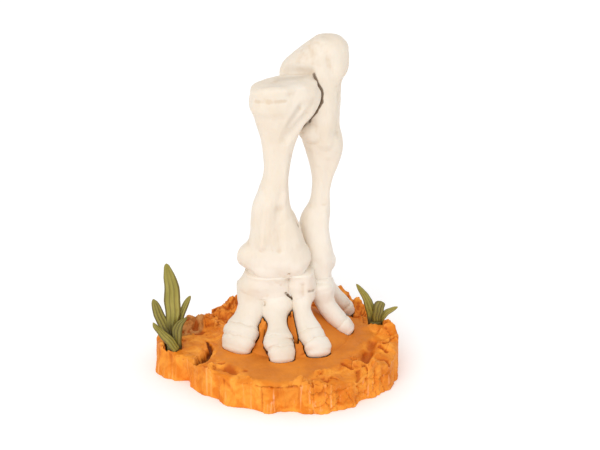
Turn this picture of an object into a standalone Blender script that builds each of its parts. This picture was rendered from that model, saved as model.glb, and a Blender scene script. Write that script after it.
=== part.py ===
"""Display model of a horned dinosaur's foreleg skeleton, standing in its own footprint.

The bones stand on a slab of sculpted earth that holds the footprint, with two moulded plants beside it.
Frame: +Z up, origin at the middle of the slab's flat underside, toes pointing along -Y.
Sizes and places below are in millimetres; every mesh is written in metres.
"""

import math
from collections import namedtuple

import bmesh
import bpy
from mathutils import Vector, noise

MM = 0.001
SEAM = 0.35  # gap that a cut leaves between two bones
FOOTPRINT_GAP = 0.7  # gap between the slab and what stands in it
SHARP_ANGLE = math.radians(38)

# Slab of earth
PAD_LEVEL = 19.0  # smooth mud round the toes
ROUGH_LEVEL = 17.0  # broken ground outside the mud
SOLE_LEVEL = 16.4  # undersides of the hooves, pressed into the mud
MOUND_RISE = 5.0  # mud squeezed up under the foot
HILL_RISE = 6.0  # ridge along the back edge
MUD_LIP = 3.0  # width of the step down from the mud to the broken ground
RIM_INSET = 0.8  # how far the upper rim stands in from the foot
RIM_DROP = 1.2  # rounding of the upper rim
SOCKET_FLOOR = 9.0
SOCKET_TOP = 39.0  # where the tool that cuts the sockets ends, clear of the ground

# Plants
ROOT_GAP = 0.4  # between a root and its socket's floor
ROOT_SINK = 1.0  # how far the leaves start below the ground
ROOT_RISE = 1.5  # how far the root ends above the ground

# Fineness of the meshes
SLAB_SECTORS = 70
SLAB_RINGS = 12
WALL_STEPS = 2
LONG_BONE_SEGMENTS = 16
CARPAL_SEGMENTS = 12
TOE_SEGMENTS = 10
ROOT_SEGMENTS = 10
SOCKET_SEGMENTS = 14
LEAF_STEPS = 6

# A loft's cross-section: centre, half-width, half-depth, turn in degrees, rise across its width and depth
Ring = namedtuple("Ring", "x y z wide deep turn rise_x rise_y", defaults=(0, 0, 0))
# A lump along a line, or a groove where its height is below zero
Relief = namedtuple("Relief", "start end radius height")
# A blade: points along its midrib, half-widths there, half-thickness, turn of its face in degrees
Leaf = namedtuple("Leaf", "points widths thick facing")

MATERIALS = {
    "bone": ((0.86, 0.79, 0.68), 0.55),
    "earth": ((0.83, 0.30, 0.045), 0.6),
    "leaf": ((0.27, 0.24, 0.07), 0.5),
}


def material(name):
    found = bpy.data.materials.get(name)
    if found:
        return found
    made = bpy.data.materials.new(name)
    made.use_nodes = True
    colour, roughness = MATERIALS[name]
    shader = made.node_tree.nodes["Principled BSDF"]
    shader.inputs["Base Color"].default_value = (*colour, 1)
    shader.inputs["Roughness"].default_value = roughness
    shader.inputs["Metallic"].default_value = 0
    return made


def new_object(name, shape, finish, place=(0, 0, 0)):
    """An object standing at a place, from a bmesh in millimetres that is measured from that place."""
    bmesh.ops.recalc_face_normals(shape, faces=shape.faces)
    bmesh.ops.scale(shape, vec=(MM, MM, MM), verts=shape.verts)
    mesh = bpy.data.meshes.new(name)
    shape.to_mesh(mesh)
    shape.free()
    mesh.shade_smooth()
    mesh.set_sharp_from_angle(angle=SHARP_ANGLE)
    mesh.materials.append(material(finish))
    made = bpy.data.objects.new(name, mesh)
    made.location = Vector(place) * MM
    bpy.context.scene.collection.objects.link(made)
    return made


# ---------------------------------------------------------------- smooth curves


def spline(points, steps):
    """Rows of a Catmull-Rom curve through the points, each a tuple of numbers."""
    spans = len(points) - 1
    rows = []
    for step in range(steps + 1):
        along = step * spans / steps
        i = min(int(along), spans - 1)
        t = along - i
        near = [points[min(max(k, 0), spans)] for k in (i - 1, i, i + 1, i + 2)]
        rows.append(tuple(
            0.5 * (2 * b + (c - a) * t + (2 * a - 5 * b + 4 * c - d) * t**2 + (3 * b - a - 3 * c + d) * t**3)
            for a, b, c, d in zip(*near)
        ))
    return rows


def heading(rows, i):
    """Direction of a curve at one of its rows."""
    before, after = rows[max(i - 1, 0)], rows[min(i + 1, len(rows) - 1)]
    return (Vector(after[:3]) - Vector(before[:3])).normalized()


def fade(distance, radius):
    """1 at distance 0, falling smoothly to 0 at the radius."""
    if distance >= radius:
        return 0.0
    return (1 - (distance / radius) ** 2) ** 2


def from_segment(point, start, end):
    """Distance of a point from the segment between start and end."""
    start, end = Vector(start), Vector(end)
    run = end - start
    share = 0 if run.length == 0 else max(0, min(1, (point - start).dot(run) / run.length_squared))
    return (point - start - run * share).length


def relief_at(point, reliefs):
    """Summed height of the reliefs at a point."""
    return sum(r.height * fade(from_segment(point, r.start, r.end), r.radius) for r in reliefs)


# ---------------------------------------------------------------- lofted solids


def skin(loops, first_pole=None, last_pole=None):
    """A closed bmesh through loops of points; each end fans to its pole, or is flat if it has no pole."""
    shape = bmesh.new()
    rows = [[shape.verts.new(point) for point in loop] for loop in loops]
    for lower, upper in zip(rows, rows[1:]):
        for k in range(len(lower)):
            nxt = (k + 1) % len(lower)
            shape.faces.new((lower[k], lower[nxt], upper[nxt], upper[k]))
    for row, pole in ((rows[0], first_pole), (rows[-1], last_pole)):
        if pole is None:
            shape.faces.new(row)
            continue
        tip = shape.verts.new(pole)
        for k in range(len(row)):
            shape.faces.new((row[k], row[(k + 1) % len(row)], tip))
    bmesh.ops.recalc_face_normals(shape, faces=shape.faces)
    return shape


def ring_axes(rows, i, level):
    """Width, depth and path directions of a ring: level rings lie flat, the others face along the path."""
    if level:
        return Vector((1, 0, 0)), Vector((0, 1, 0)), Vector((0, 0, 1))
    path = heading(rows, i)
    wide = path.cross(Vector((0, 0, 1))).normalized()
    return wide, wide.cross(path), path


def ring_point(ring, axes, angle, bluntness, shrink=1.0, lift=0.0):
    """Point of a ring's outline at an angle, on a superellipse that is squarer as bluntness rises over 2."""
    wide, deep, path = axes
    turn = math.radians(ring.turn)
    cos, sin = math.cos(angle), math.sin(angle)
    power = 2 / bluntness
    across = math.copysign(abs(cos) ** power, cos) * ring.wide * shrink
    through = math.copysign(abs(sin) ** power, sin) * ring.deep * shrink
    a = across * math.cos(turn) - through * math.sin(turn)
    b = across * math.sin(turn) + through * math.cos(turn)
    return Vector(ring[:3]) + wide * a + deep * b + path * (ring.rise_x * a + ring.rise_y * b + lift)


def dome(ring, axes, height, angles, bluntness):
    """Two shrinking loops and a pole that close an end; a height below zero points back along the path."""
    loops = []
    for share in (0.4, 0.75):
        shrink = math.cos(share * math.pi / 2) ** 0.7
        lift = height * math.sin(share * math.pi / 2)
        loops.append([ring_point(ring, axes, a, bluntness, shrink, lift) for a in angles])
    return loops, ring_point(ring, axes, 0, bluntness, 0.0, height)


def loft(rings, steps, segments, ends, bluntness, level=False):
    """A closed bmesh skinned over rings, with domed ends of the given heights."""
    rows = [Ring(*row) for row in spline([tuple(ring) for ring in rings], steps)]
    axes = [ring_axes(rows, i, level) for i in range(len(rows))]
    angles = [math.tau * k / segments for k in range(segments)]
    loops = [[ring_point(ring, ax, a, bluntness) for a in angles] for ring, ax in zip(rows, axes)]
    first, first_pole = dome(rows[0], axes[0], -ends[0], angles, bluntness)
    last, last_pole = dome(rows[-1], axes[-1], ends[1], angles, bluntness)
    return skin(first[::-1] + loops + last, first_pole, last_pole)


def new_bone(name, shape, rings, reliefs=()):
    """A bone from its lofted shape and its reliefs, with its origin at its first ring."""
    shape.normal_update()
    moves = [vert.normal * relief_at(vert.co, reliefs) for vert in shape.verts]
    place = Vector(rings[0][:3])
    for vert, move in zip(shape.verts, moves):
        vert.co += move - place
    return new_object(name, shape, "bone", place)


# ---------------------------------------------------------------- cuts and joins


def boolean(target, others, operation):
    """Applies a Boolean with each other object in turn, then removes those objects."""
    for other in others:
        step = target.modifiers.new(operation.lower(), "BOOLEAN")
        step.operation = operation
        step.solver = "EXACT"
        step.object = other
        graph = bpy.context.evaluated_depsgraph_get()
        result = bpy.data.meshes.new_from_object(target.evaluated_get(graph))
        target.modifiers.clear()
        target.data = result
        bpy.data.objects.remove(other)
    target.data.shade_smooth()
    target.data.set_sharp_from_angle(angle=SHARP_ANGLE)
    return target


def grown_copy(source, gap):
    """A copy of an object with its surface moved outward by the gap."""
    shape = bmesh.new()
    shape.from_mesh(source.data)
    shape.normal_update()
    moves = [vert.normal * gap * MM for vert in shape.verts]
    for vert, move in zip(shape.verts, moves):
        vert.co += move
    mesh = bpy.data.meshes.new(source.name + "_room")
    shape.to_mesh(mesh)
    shape.free()
    made = bpy.data.objects.new(mesh.name, mesh)
    made.location = source.location
    bpy.context.scene.collection.objects.link(made)
    return made


def reach_of(thing):
    """Lowest and highest place of an unturned object along each axis."""
    corners = [thing.location + Vector(corner) for corner in thing.bound_box]
    return [(min(corner[k] for corner in corners), max(corner[k] for corner in corners)) for k in range(3)]


def near_each_other(one, other):
    """Whether the boxes round two unturned objects come within a seam of each other."""
    seam = SEAM * MM
    return all(a[0] < b[1] + seam and b[0] < a[1] + seam for a, b in zip(reach_of(one), reach_of(other)))


def give_way(pieces):
    """Cuts each piece back so that it stands a seam's width away from the pieces before it."""
    whole = [grown_copy(piece, 0) for piece in pieces]
    for i, piece in enumerate(pieces):
        before = [earlier for earlier in whole[:i] if near_each_other(piece, earlier)]
        boolean(piece, [grown_copy(earlier, SEAM) for earlier in before], "DIFFERENCE")
    for spare in whole:
        bpy.data.objects.remove(spare)


# ---------------------------------------------------------------- long bones


def build_radius():
    """Front bone of the lower leg: oval head turned to the ulna, narrow shaft, broad fanned lower end."""
    rings = [
        Ring(-1, -1, 61.5, 15.5, 10),
        Ring(-1, -1, 65, 19.2, 12),
        Ring(-0.7, -1, 69, 21, 13),
        Ring(-1.1, -1, 74.5, 20.8, 12.8),
        Ring(-0.6, -1, 79, 17.9, 12.2),
        Ring(-0.9, -1, 88, 15.2, 11),
        Ring(-2.5, -1, 96, 13.2, 9.8),
        Ring(-3.4, -1, 104, 11.4, 9),
        Ring(-2, -1, 114, 9, 8.2),
        Ring(-0.1, -0.5, 126, 7.6, 7.8),
        Ring(0.6, 0, 137, 8.8, 8, 8),
        Ring(1.3, 0.5, 147, 11, 9, 8),
        Ring(2.2, 1, 154.5, 14, 10.6, 12),
        Ring(4.2, 2, 161, 18, 12.2, 16),
        Ring(5, 2.5, 166.5, 21, 13.4, 20, 0.03),
        Ring(5.2, 3, 171.5, 21.8, 13.8, 22, 0.05),
        Ring(5, 3, 176.8, 20.8, 13.4, 22, 0.09, 0.02),
    ]
    reliefs = [
        Relief((-21, -2, 75), (-20, -2, 70), 8, 1.6),  # knob on the inner side of the lower end
        Relief((-9, -13, 84), (-5, -10, 106), 6, 1.3),  # ridge down the front of the shaft
        Relief((1, -12, 80), (2, -9, 104), 4.5, -1.3),  # furrow beside that ridge
        Relief((7, -8, 112), (14, -11, 84), 6, 1.0),  # outer edge of the fan
        Relief((19, -6, 163), (6, -10, 148), 5, -2.0),  # hollow that runs down from the outer condyle
        Relief((10, -11, 181), (10, -12, 168), 4, -1.8),  # notch between the two condyles
        Relief((16, -9, 178), (19, -7, 170), 5, 0.8),  # outer condyle
        Relief((-12, -11, 163), (4, -12, 163), 4, -0.8),  # neck under the inner condyle's rim
        Relief((2, 2, 182), (10, 5, 184), 12, -1.2),  # dished top
        Relief((-12, -12, 64), (-4, -13, 63), 6, 1.0),  # inner condyle over the wrist
        Relief((12, -11, 66), (13, -10, 64), 6, 1.0),  # outer condyle over the wrist
    ]
    shape = loft(rings, 22, LONG_BONE_SEGMENTS, ends=(2.5, 3.8), bluntness=2.4, level=True)
    return new_bone("radius", shape, rings, reliefs)


def build_ulna():
    """Rear bone of the lower leg: club-shaped elbow end, waist, shelf behind the radius, narrow foot."""
    rings = [
        Ring(26, 10.5, 53, 5.4, 6.5),
        Ring(25, 11, 57.5, 8.2, 8.2),
        Ring(25.3, 12, 64, 9.2, 9),
        Ring(23.8, 13.5, 74, 9, 9.2),
        Ring(22.4, 15, 83, 9.1, 8.6),
        Ring(23.2, 16, 90.5, 8.7, 8),
        Ring(25.4, 17, 98, 6.7, 7),
        Ring(26.4, 18, 107, 5.5, 6.8),
        Ring(27.4, 18.5, 115, 6.3, 7),
        Ring(28.3, 18.5, 123, 8.6, 7.6),
        Ring(28.2, 18.5, 133, 11.2, 8.8),
        Ring(26.9, 18, 141, 12.1, 10),
        Ring(26.6, 18, 146, 11.2, 10.8),
        Ring(29, 17.5, 151, 8.4, 11.4),
        Ring(29.4, 17.5, 157, 8.2, 12),
        Ring(27.6, 17.5, 163.5, 10.4, 12.6),
        Ring(24.2, 18, 169.5, 14, 13),
        Ring(20.9, 19.5, 175.5, 18, 13),
        Ring(21.9, 21, 182, 20.2, 12.6),
        Ring(24.1, 23, 187.5, 18.8, 12),
        Ring(27, 23.5, 192.5, 15.6, 11.4),
        Ring(29.7, 24, 197.5, 11.8, 9.8),
        Ring(30.3, 24, 200.5, 8.6, 7.8),
    ]
    reliefs = [
        Relief((37, 14, 62), (36, 14, 59), 6, 2.4),  # knob low on the outer side
        Relief((29, 7, 168), (29, 8, 140), 6, 1.2),  # ridge down the front
        Relief((37, 13, 168), (36, 12, 146), 5, -1.4),  # hollow on the outer side of that ridge
        Relief((17, 12, 146), (22, 10, 144), 5, 1.2),  # shelf that meets the back of the radius
        Relief((6, 13, 182), (16, 12, 180), 6, 1.2),  # lip of the joint above the radius
        Relief((12, 11, 192), (20, 13, 195), 6, -1.4),  # saddle of the elbow joint
        Relief((31, 12, 190), (33, 12, 180), 5, -1.0),  # dent below the elbow's tip
        Relief((40, 15, 176), (38, 14, 168), 5, -1.2),  # hollow under the elbow's outer corner
        Relief((31, 8, 72), (30, 9, 96), 5, 0.9),  # outer edge of the lower shaft
    ]
    shape = loft(rings, 27, LONG_BONE_SEGMENTS, ends=(2.5, 2.5), bluntness=2.3, level=True)
    return new_bone("ulna", shape, rings, reliefs)


# ---------------------------------------------------------------- wrist

# Rings and reliefs of each wrist block
CARPALS = {
    "carpal_inner": (
        [Ring(-7.6, -0.5, 48.6, 13.6, 9.4, 0, -0.1), Ring(-7.5, -0.5, 53.5, 14.8, 10.6),
         Ring(-7, 0, 60, 11, 9)],
        [Relief((-16, -9, 54), (-10, -11, 54), 7, 0.8), Relief((0, -10, 60), (2, -10, 48), 4, -0.8)],
    ),
    "carpal_middle": (
        [Ring(15, -0.5, 45.5, 6.6, 8.6), Ring(14.8, -0.5, 52, 7.1, 9.6), Ring(15.4, 1, 59.5, 5.4, 8)],
        [Relief((15.5, -10, 56), (16, -10, 46), 3, -1)],
    ),
    "carpal_outer": (
        [Ring(27, 7, 43.5, 5.4, 8), Ring(27, 7, 48, 6, 9), Ring(27, 8, 52.5, 5.2, 8)],
        [Relief((23, -1, 50), (31, -1, 51), 3, 1)],
    ),
}


def build_carpals():
    """Three wrist blocks under the two long bones."""
    made = []
    for name, (rings, reliefs) in CARPALS.items():
        shape = loft(rings, 3, CARPAL_SEGMENTS, ends=(1, 1), bluntness=2.8, level=True)
        made.append(new_bone(name, shape, rings, reliefs))
    return made


# ---------------------------------------------------------------- toes

# Rings of each toe from the wrist to its tip: metacarpal, phalanx (the two outer toes have none) and hoof
TOES = {
    "1": (
        [Ring(-16.4, -0.5, 50, 7.5, 6.5), Ring(-16.1, -4, 45.5, 7.2, 6.2), Ring(-16.2, -7.5, 41, 6.6, 5.9),
         Ring(-18.6, -12, 35.2, 7.8, 5.6), Ring(-21, -14.6, 32, 9.4, 5.5)],
        [Ring(-21.4, -15.6, 31, 9.8, 5.6), Ring(-21.9, -17.5, 29, 10.2, 5.8),
         Ring(-22.4, -19.2, 27.3, 10, 5.6)],
        [Ring(-23.2, -19.8, 26.6, 9.3, 5.5), Ring(-24.3, -22.4, 24.2, 9.9, 5.4),
         Ring(-25, -25, 21.6, 8.8, 4.6)],
    ),
    "2": (
        [Ring(1, -3, 46, 7.6, 6), Ring(0.9, -7.5, 42.8, 7.9, 5.9), Ring(-0.6, -13, 38.8, 6.8, 5.4),
         Ring(0, -19, 34.6, 5.6, 5), Ring(0.9, -24, 31, 6.2, 5), Ring(0.9, -27, 29.2, 7.8, 5.4)],
        [Ring(0.9, -27.6, 28.6, 8.3, 5.4), Ring(1, -29.6, 27, 8.9, 5.6), Ring(1.6, -32, 25.4, 8.6, 5.4)],
        [Ring(2.2, -32.6, 24.8, 7.8, 5.2), Ring(3.1, -35.8, 22.8, 8.2, 5.2), Ring(3.4, -38.4, 21, 7.2, 4.4)],
    ),
    "3": (
        [Ring(15.3, -2, 46.5, 5.8, 5.6), Ring(15.1, -6, 43, 5.3, 5.4), Ring(15.3, -10, 39.5, 5.2, 5.2),
         Ring(16.6, -14, 35.8, 5.8, 5), Ring(19.6, -20, 30.2, 7.4, 5.2)],
        [Ring(19.9, -20.6, 29.8, 7.4, 5.2), Ring(20.6, -22.4, 28.2, 7.7, 5.4),
         Ring(21.4, -24, 26.8, 7.6, 5.2)],
        [Ring(22.8, -25, 25.8, 8.2, 5.2), Ring(25.1, -28.4, 23.6, 8.9, 5.2),
         Ring(26.2, -31.2, 21.6, 7.6, 4.4)],
    ),
    "4": (
        [Ring(27.4, 4.5, 44.5, 6.8, 6.2), Ring(28.6, 3.8, 40, 6.4, 6), Ring(30.4, 3, 36, 6, 5.8),
         Ring(33.2, 2.2, 32, 6, 5.6), Ring(36, 1.6, 28.8, 6, 5.2)],
        None,
        [Ring(37.2, 1.4, 27.4, 5.8, 5.2), Ring(40.8, 1, 24.4, 6.6, 5.4), Ring(44, 0.8, 22.2, 5.6, 4.6)],
    ),
    "5": (
        [Ring(29.6, 13.5, 45, 5.4, 5.2), Ring(34, 19, 37.4, 4.9, 4.8), Ring(37, 22, 32.6, 4.6, 4.6),
         Ring(39.2, 23.8, 29.6, 4.8, 4.5)],
        None,
        [Ring(40.2, 24.6, 28.2, 4.7, 4.4), Ring(42.5, 26.6, 24.6, 5.2, 4.6), Ring(44.2, 28, 21.8, 4.4, 4)],
    ),
}


def toe_bone(name, rings, steps, ends, bluntness):
    """A bone of a toe, flat underneath where it would sink below the sole."""
    shape = loft(rings, steps, TOE_SEGMENTS, ends, bluntness)
    for vert in shape.verts:
        vert.co.z = max(vert.co.z, SOLE_LEVEL)
    return new_bone(name, shape, rings)


def build_toes():
    """Five toes, each from its metacarpal to its hoof."""
    toes = []
    for digit, (metacarpal_rings, phalanx_rings, hoof_rings) in TOES.items():
        toes.append(toe_bone(f"metacarpal_{digit}", metacarpal_rings, 6, (1, 1.2), 2.4))
        if phalanx_rings:
            toes.append(toe_bone(f"phalanx_{digit}", phalanx_rings, 2, (1, 1), 2.6))
        toes.append(toe_bone(f"hoof_{digit}", hoof_rings, 3, (1, 2.6), 2.6))
    return toes


# ---------------------------------------------------------------- slab of earth

# Outline of the slab's foot, as distances from its middle: (angle in degrees from +X, distance)
EDGE = [
    (0, 74), (12, 71), (24, 68), (35, 67), (44, 64), (52, 68), (62, 71), (75, 69), (90, 65), (105, 60),
    (118, 59), (131, 56), (146, 56), (155, 58.5), (161, 67), (172, 72), (184, 75), (191, 76.5), (198, 73.5),
    (203, 68.5), (207, 60.5), (214, 63), (224, 63.6), (233, 62), (244, 66.3), (252, 64.8), (259, 65.3),
    (266, 70), (272, 66.6), (278, 67.3), (284, 72), (291, 75.4), (299, 75), (306, 77.4), (314, 73),
    (322, 76.6), (330, 78.5), (340, 77.5), (350, 75.5),
]
# Outline of the smooth mud, the same way but from its own middle
MUD_MIDDLE = (5, -20)
MUD_EDGE = [
    (0, 44), (20, 57), (40, 60), (60, 56), (90, 46), (120, 42), (150, 42), (180, 41), (195, 43), (210, 41),
    (225, 38), (240, 43), (255, 45), (270, 46), (285, 41), (300, 37), (315, 38), (330, 39), (345, 40),
]
# Plant sockets: middle and radius
SOCKETS = {"plant_left": (-63.0, -18.5, 4.6), "plant_right": (60.5, 12.5, 4.2)}

HILL = Relief((-20, 50, 0), (36, 58, 0), 24, HILL_RISE)
MOUND = Relief((-9, 6, 0), (27, 13, 0), 27, MOUND_RISE)
LAND_RELIEFS = [
    Relief((-56, 5, 0), (-55, 9, 0), 6, 5),  # boulders behind the left plant
    Relief((-48, 9, 0), (-47, 13, 0), 6, 4.5),
    Relief((-40, 20, 0), (-34, 30, 0), 9, 2.5),
    Relief((-46, -6, 0), (-45, -2, 0), 6, -2.5),  # hollow in front of the boulders
    Relief((-62, -12, 0), (-72, -8, 0), 7, 1.5),
    Relief((-28, -46, 0), (-24, -43, 0), 5, -4),  # scooped pits in front of the inner toe
    Relief((-18, -49, 0), (-18, -49, 0), 4, -2.5),
    Relief((-46, -47, 0), (-40, -44, 0), 6, 1.5),
    Relief((54, -22, 0), (52, -36, 0), 6, -3.5),  # gullies on the right
    Relief((66, -26, 0), (64, -34, 0), 5, -3),
    Relief((42, -52, 0), (48, -46, 0), 5, -3),
    Relief((60, -48, 0), (66, -44, 0), 7, 2.5),
    Relief((26, -60, 0), (40, -62, 0), 6, 2.5),
    Relief((70, 4, 0), (54, 36, 0), 17, 4),  # raised rim behind the right plant
    Relief((30, 58, 0), (42, 50, 0), 12, 5.5),  # knoll at the back
]
# Crack left of the toes, as rings of the wedge that cuts it
CRACK = [Ring(-40, -9, 22, 1, 4), Ring(-39.6, -16, 21, 2, 7), Ring(-43, -24, 21, 2.6, 8.5),
         Ring(-47, -35, 20, 3.6, 8)]


def distance_at(angle, outline):
    """Distance of an outline from its middle, in the direction of an angle in degrees."""
    angle %= 360
    ends = outline[1:] + [(360, outline[0][1])]
    (a, near), (b, far) = next(span for span in zip(outline, ends) if angle <= span[1][0])
    t = (angle - a) / (b - a)
    return near + (far - near) * t * t * (3 - 2 * t)


def mud_share(x, y):
    """1 on the smooth mud round the toes and 0 on the broken ground outside it."""
    across, along = x - MUD_MIDDLE[0], y - MUD_MIDDLE[1]
    inside = distance_at(math.degrees(math.atan2(along, across)), MUD_EDGE) - math.hypot(across, along)
    share = max(0.0, min(1.0, inside / MUD_LIP + 0.5))
    return share * share * (3 - 2 * share)


def crags(x, y):
    """Broken ground: ridged lumps and shallow steps, about 6 mm from top to bottom."""
    place = Vector((x, y, 3.7))
    ridges = 1 - abs(noise.noise(place / 11)) * 2.2
    lumps = noise.noise(place / 7 + Vector((5, 9, 1)))
    steps = noise.noise(place / 19 + Vector((2, 4, 8)))
    return 3 * ridges + 2.4 * lumps + 1.8 * math.copysign(min(abs(steps) * 4, 1), steps) - 1.4


def land_height(x, y):
    """Height of the earth's top surface."""
    flat = Vector((x, y, 0))
    mud = mud_share(x, y)
    rough = ROUGH_LEVEL + crags(x, y) + relief_at(flat, LAND_RELIEFS)
    return rough * (1 - mud) + PAD_LEVEL * mud + relief_at(flat, (HILL, MOUND))


def wall_flute(angle):
    """Upright ribs and gullies of the slab's side, in or out from its edge."""
    turn = math.radians(angle)
    around = Vector((math.cos(turn), math.sin(turn), 0))
    return 0.7 * noise.noise(around * 9) + 0.6 * noise.noise(around * 21 + Vector((3, 1, 7)))


def rim_distance(angle):
    """Distance of the slab's upper rim, whose outline is rounder than the foot's."""
    around = (-8, -4, 0, 4, 8)
    return sum(distance_at(angle + a, EDGE) for a in around) / len(around) - RIM_INSET + wall_flute(angle)


def build_slab():
    """Block of earth with a sculpted top, fluted sides and a flat underside."""
    angles = [360 * k / SLAB_SECTORS for k in range(SLAB_SECTORS)]
    ways = [Vector((math.cos(math.radians(a)), math.sin(math.radians(a)), 0)) for a in angles]
    loops = []
    for ring in range(1, SLAB_RINGS + 1):
        share = (ring / SLAB_RINGS) ** 0.65
        drop = RIM_DROP if ring == SLAB_RINGS else 0
        flat = [way * share * rim_distance(angle) for angle, way in zip(angles, ways)]
        loops.append([Vector((at.x, at.y, land_height(at.x, at.y) - drop)) for at in flat])
    rim = loops[-1]
    foot = [way * (distance_at(angle, EDGE) + wall_flute(angle)) for angle, way in zip(angles, ways)]
    for step in range(1, WALL_STEPS + 1):
        loops.append([top.lerp(low, step / WALL_STEPS) for top, low in zip(rim, foot)])
    return new_object("earth_slab", skin(loops, Vector((0, 0, land_height(0, 0)))), "earth")


def new_cone(name, finish, segments, low_radius, high_radius, low, high, x, y):
    """An upright cone between two levels, standing over a point of the ground."""
    shape = bmesh.new()
    bmesh.ops.create_cone(
        shape, cap_ends=True, segments=segments, radius1=low_radius, radius2=high_radius, depth=high - low
    )
    return new_object(name, shape, finish, (x, y, (low + high) / 2))


def cut_holes(slab):
    """Cuts the crack, and the round holes that the plants' roots stand in."""
    cutters = [new_object("crack_cutter", loft(CRACK, 6, 8, (1, 1), 2), "earth")]
    for x, y, radius in SOCKETS.values():
        cutters.append(new_cone(
            "socket_cutter", "earth", SOCKET_SEGMENTS, radius * 0.8, radius, SOCKET_FLOOR, SOCKET_TOP, x, y
        ))
    return boolean(slab, cutters, "DIFFERENCE")


# ---------------------------------------------------------------- plants

# Section of a blade as shares of its half-width and half-thickness: a channel in front, a rounded back
BLADE = [(-1, 0.1), (-0.5, 0.8), (0, 0.3), (0.5, 0.8), (1, 0.1), (0.4, -1.2), (-0.4, -1.2)]
PLANTS = {
    "plant_left": [
        Leaf([(-0.4, 1, 1), (0, 3, 14), (0, 4, 27), (-1, 5, 41), (-3, 6, 54)], (3, 4.6, 5.4, 4.4, 1), 1.5, 0),
        Leaf([(-1, 1, 1), (-5, 2, 11), (-8.6, 2.5, 21), (-11.6, 3, 31)], (2.6, 3.6, 3.3, 1.0), 1.3, 12),
        Leaf([(1, 3, 1), (3.6, 5, 12), (7, 6, 22), (11.6, 7, 31)], (2, 2.6, 2.3, 0.8), 1.3, -30),
        Leaf([(1, -1, 0), (2.6, -1.5, 7), (6, -1, 14), (10.2, 0, 22)], (2.8, 3.6, 2.8, 0.8), 1.3, -25),
        Leaf([(1, -3.4, -1), (-1.6, -4.5, 5), (-5.8, -5, 11.5), (-11, -4, 18.6)], (3, 3.6, 3, 0.9), 1.4, 30),
    ],
    "plant_right": [
        Leaf([(-0.6, 0, 0), (-3.4, 1, 8), (-5.8, 2, 15), (-11, 3, 25)], (2.4, 2.9, 2.3, 0.6), 1.3, 10),
        Leaf([(0.4, -1, 0), (1, -1, 6), (1.9, 0, 11), (2.6, 1, 14.6)], (2.6, 3.6, 3.8, 2.6), 1.3, 8),
        Leaf([(1.4, 1, 0), (4.6, 1.5, 4.4), (8.6, 2, 7.6), (13.4, 3, 9.8)], (1.6, 1.8, 1.5, 0.5), 1.1, -10),
    ],
}


def build_leaf(leaf, place):
    """Thick blade with a channel down its face, thinner where it is narrow."""
    turn = math.radians(leaf.facing)
    rows = spline([(*point, width) for point, width in zip(leaf.points, leaf.widths)], LEAF_STEPS)
    sideways = Vector((math.cos(turn), math.sin(turn), 0))
    loops = []
    for i, (x, y, z, width) in enumerate(rows):
        path = heading(rows, i)
        across = (sideways - path * sideways.dot(path)).normalized()
        front = path.cross(across)
        thick = leaf.thick * min(1, 0.45 + width / 5)
        loops.append([Vector((x, y, z)) + across * width * a + front * thick * b for a, b in BLADE])
    return new_object("leaf", skin(loops), "leaf", place)


def build_plant(name):
    """Moulded tuft of leaves on one round root, and what clears room for its leaves in the slab."""
    x, y, radius = SOCKETS[name]
    ground = land_height(x, y)
    low, high = SOCKET_FLOOR + ROOT_GAP, ground + ROOT_RISE
    plant = new_cone(name, "leaf", ROOT_SEGMENTS, radius * 0.66, radius * 0.76, low, high, x, y)
    blades = [build_leaf(leaf, (x, y, ground - ROOT_SINK)) for leaf in PLANTS[name]]
    room = [grown_copy(blade, FOOTPRINT_GAP) for blade in blades]
    return boolean(plant, blades, "UNION"), room


# ---------------------------------------------------------------- assembly


def main():
    for old in list(bpy.data.objects):
        bpy.data.objects.remove(old)
    toes = build_toes()
    room = [grown_copy(toe, FOOTPRINT_GAP) for toe in toes]
    bones = [build_radius(), build_ulna()] + build_carpals() + toes
    give_way(bones)
    plants = []
    for name in SOCKETS:
        plant, leaf_room = build_plant(name)
        plants.append(plant)
        room += leaf_room
    slab = boolean(cut_holes(build_slab()), room, "DIFFERENCE")

    foreleg = bpy.data.objects.new("foreleg", None)
    bpy.context.scene.collection.objects.link(foreleg)
    foreleg.parent = slab
    for piece in bones:
        piece.parent = foreleg
    for plant in plants:
        plant.parent = slab


main()
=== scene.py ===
"""Looks of the display model: a horned dinosaur's foreleg bones standing in a footprint on a slab of earth.

Sizes and places are in millimetres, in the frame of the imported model; every mesh is written in metres.
"""

import math
from collections import namedtuple

import bpy
import numpy as np
from mathutils import Euler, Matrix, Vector, noise
from mathutils.bvhtree import BVHTree


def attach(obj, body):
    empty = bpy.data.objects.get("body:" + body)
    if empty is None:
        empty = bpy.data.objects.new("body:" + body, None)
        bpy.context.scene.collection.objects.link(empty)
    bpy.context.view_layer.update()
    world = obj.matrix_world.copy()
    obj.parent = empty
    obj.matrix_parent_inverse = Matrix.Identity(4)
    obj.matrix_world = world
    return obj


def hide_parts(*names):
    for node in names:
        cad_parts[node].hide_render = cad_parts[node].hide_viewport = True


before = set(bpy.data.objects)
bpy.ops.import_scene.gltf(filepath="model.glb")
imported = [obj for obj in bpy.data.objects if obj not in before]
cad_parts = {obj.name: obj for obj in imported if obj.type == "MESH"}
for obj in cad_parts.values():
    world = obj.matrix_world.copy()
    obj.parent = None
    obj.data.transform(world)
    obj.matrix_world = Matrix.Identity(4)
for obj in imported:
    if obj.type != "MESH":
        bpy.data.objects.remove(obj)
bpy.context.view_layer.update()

MM = 0.001

# A cross-section: its middle, its half-widths, its turn in degrees and how it tilts along x and y
Ring = namedtuple("Ring", "x y z wide deep turn rise_x rise_y", defaults=(0, 0, 0))
# A rise, or a dent where the height is below 0, that fades out within a radius of the line from start to end
Relief = namedtuple("Relief", "start end radius height")
# A blade along points, turned by facing; dark is the share of it in deep shade at its foot, shade tones all of it
Leaf = namedtuple("Leaf", "points widths thick facing dark shade", defaults=(0.3, 0))


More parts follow.
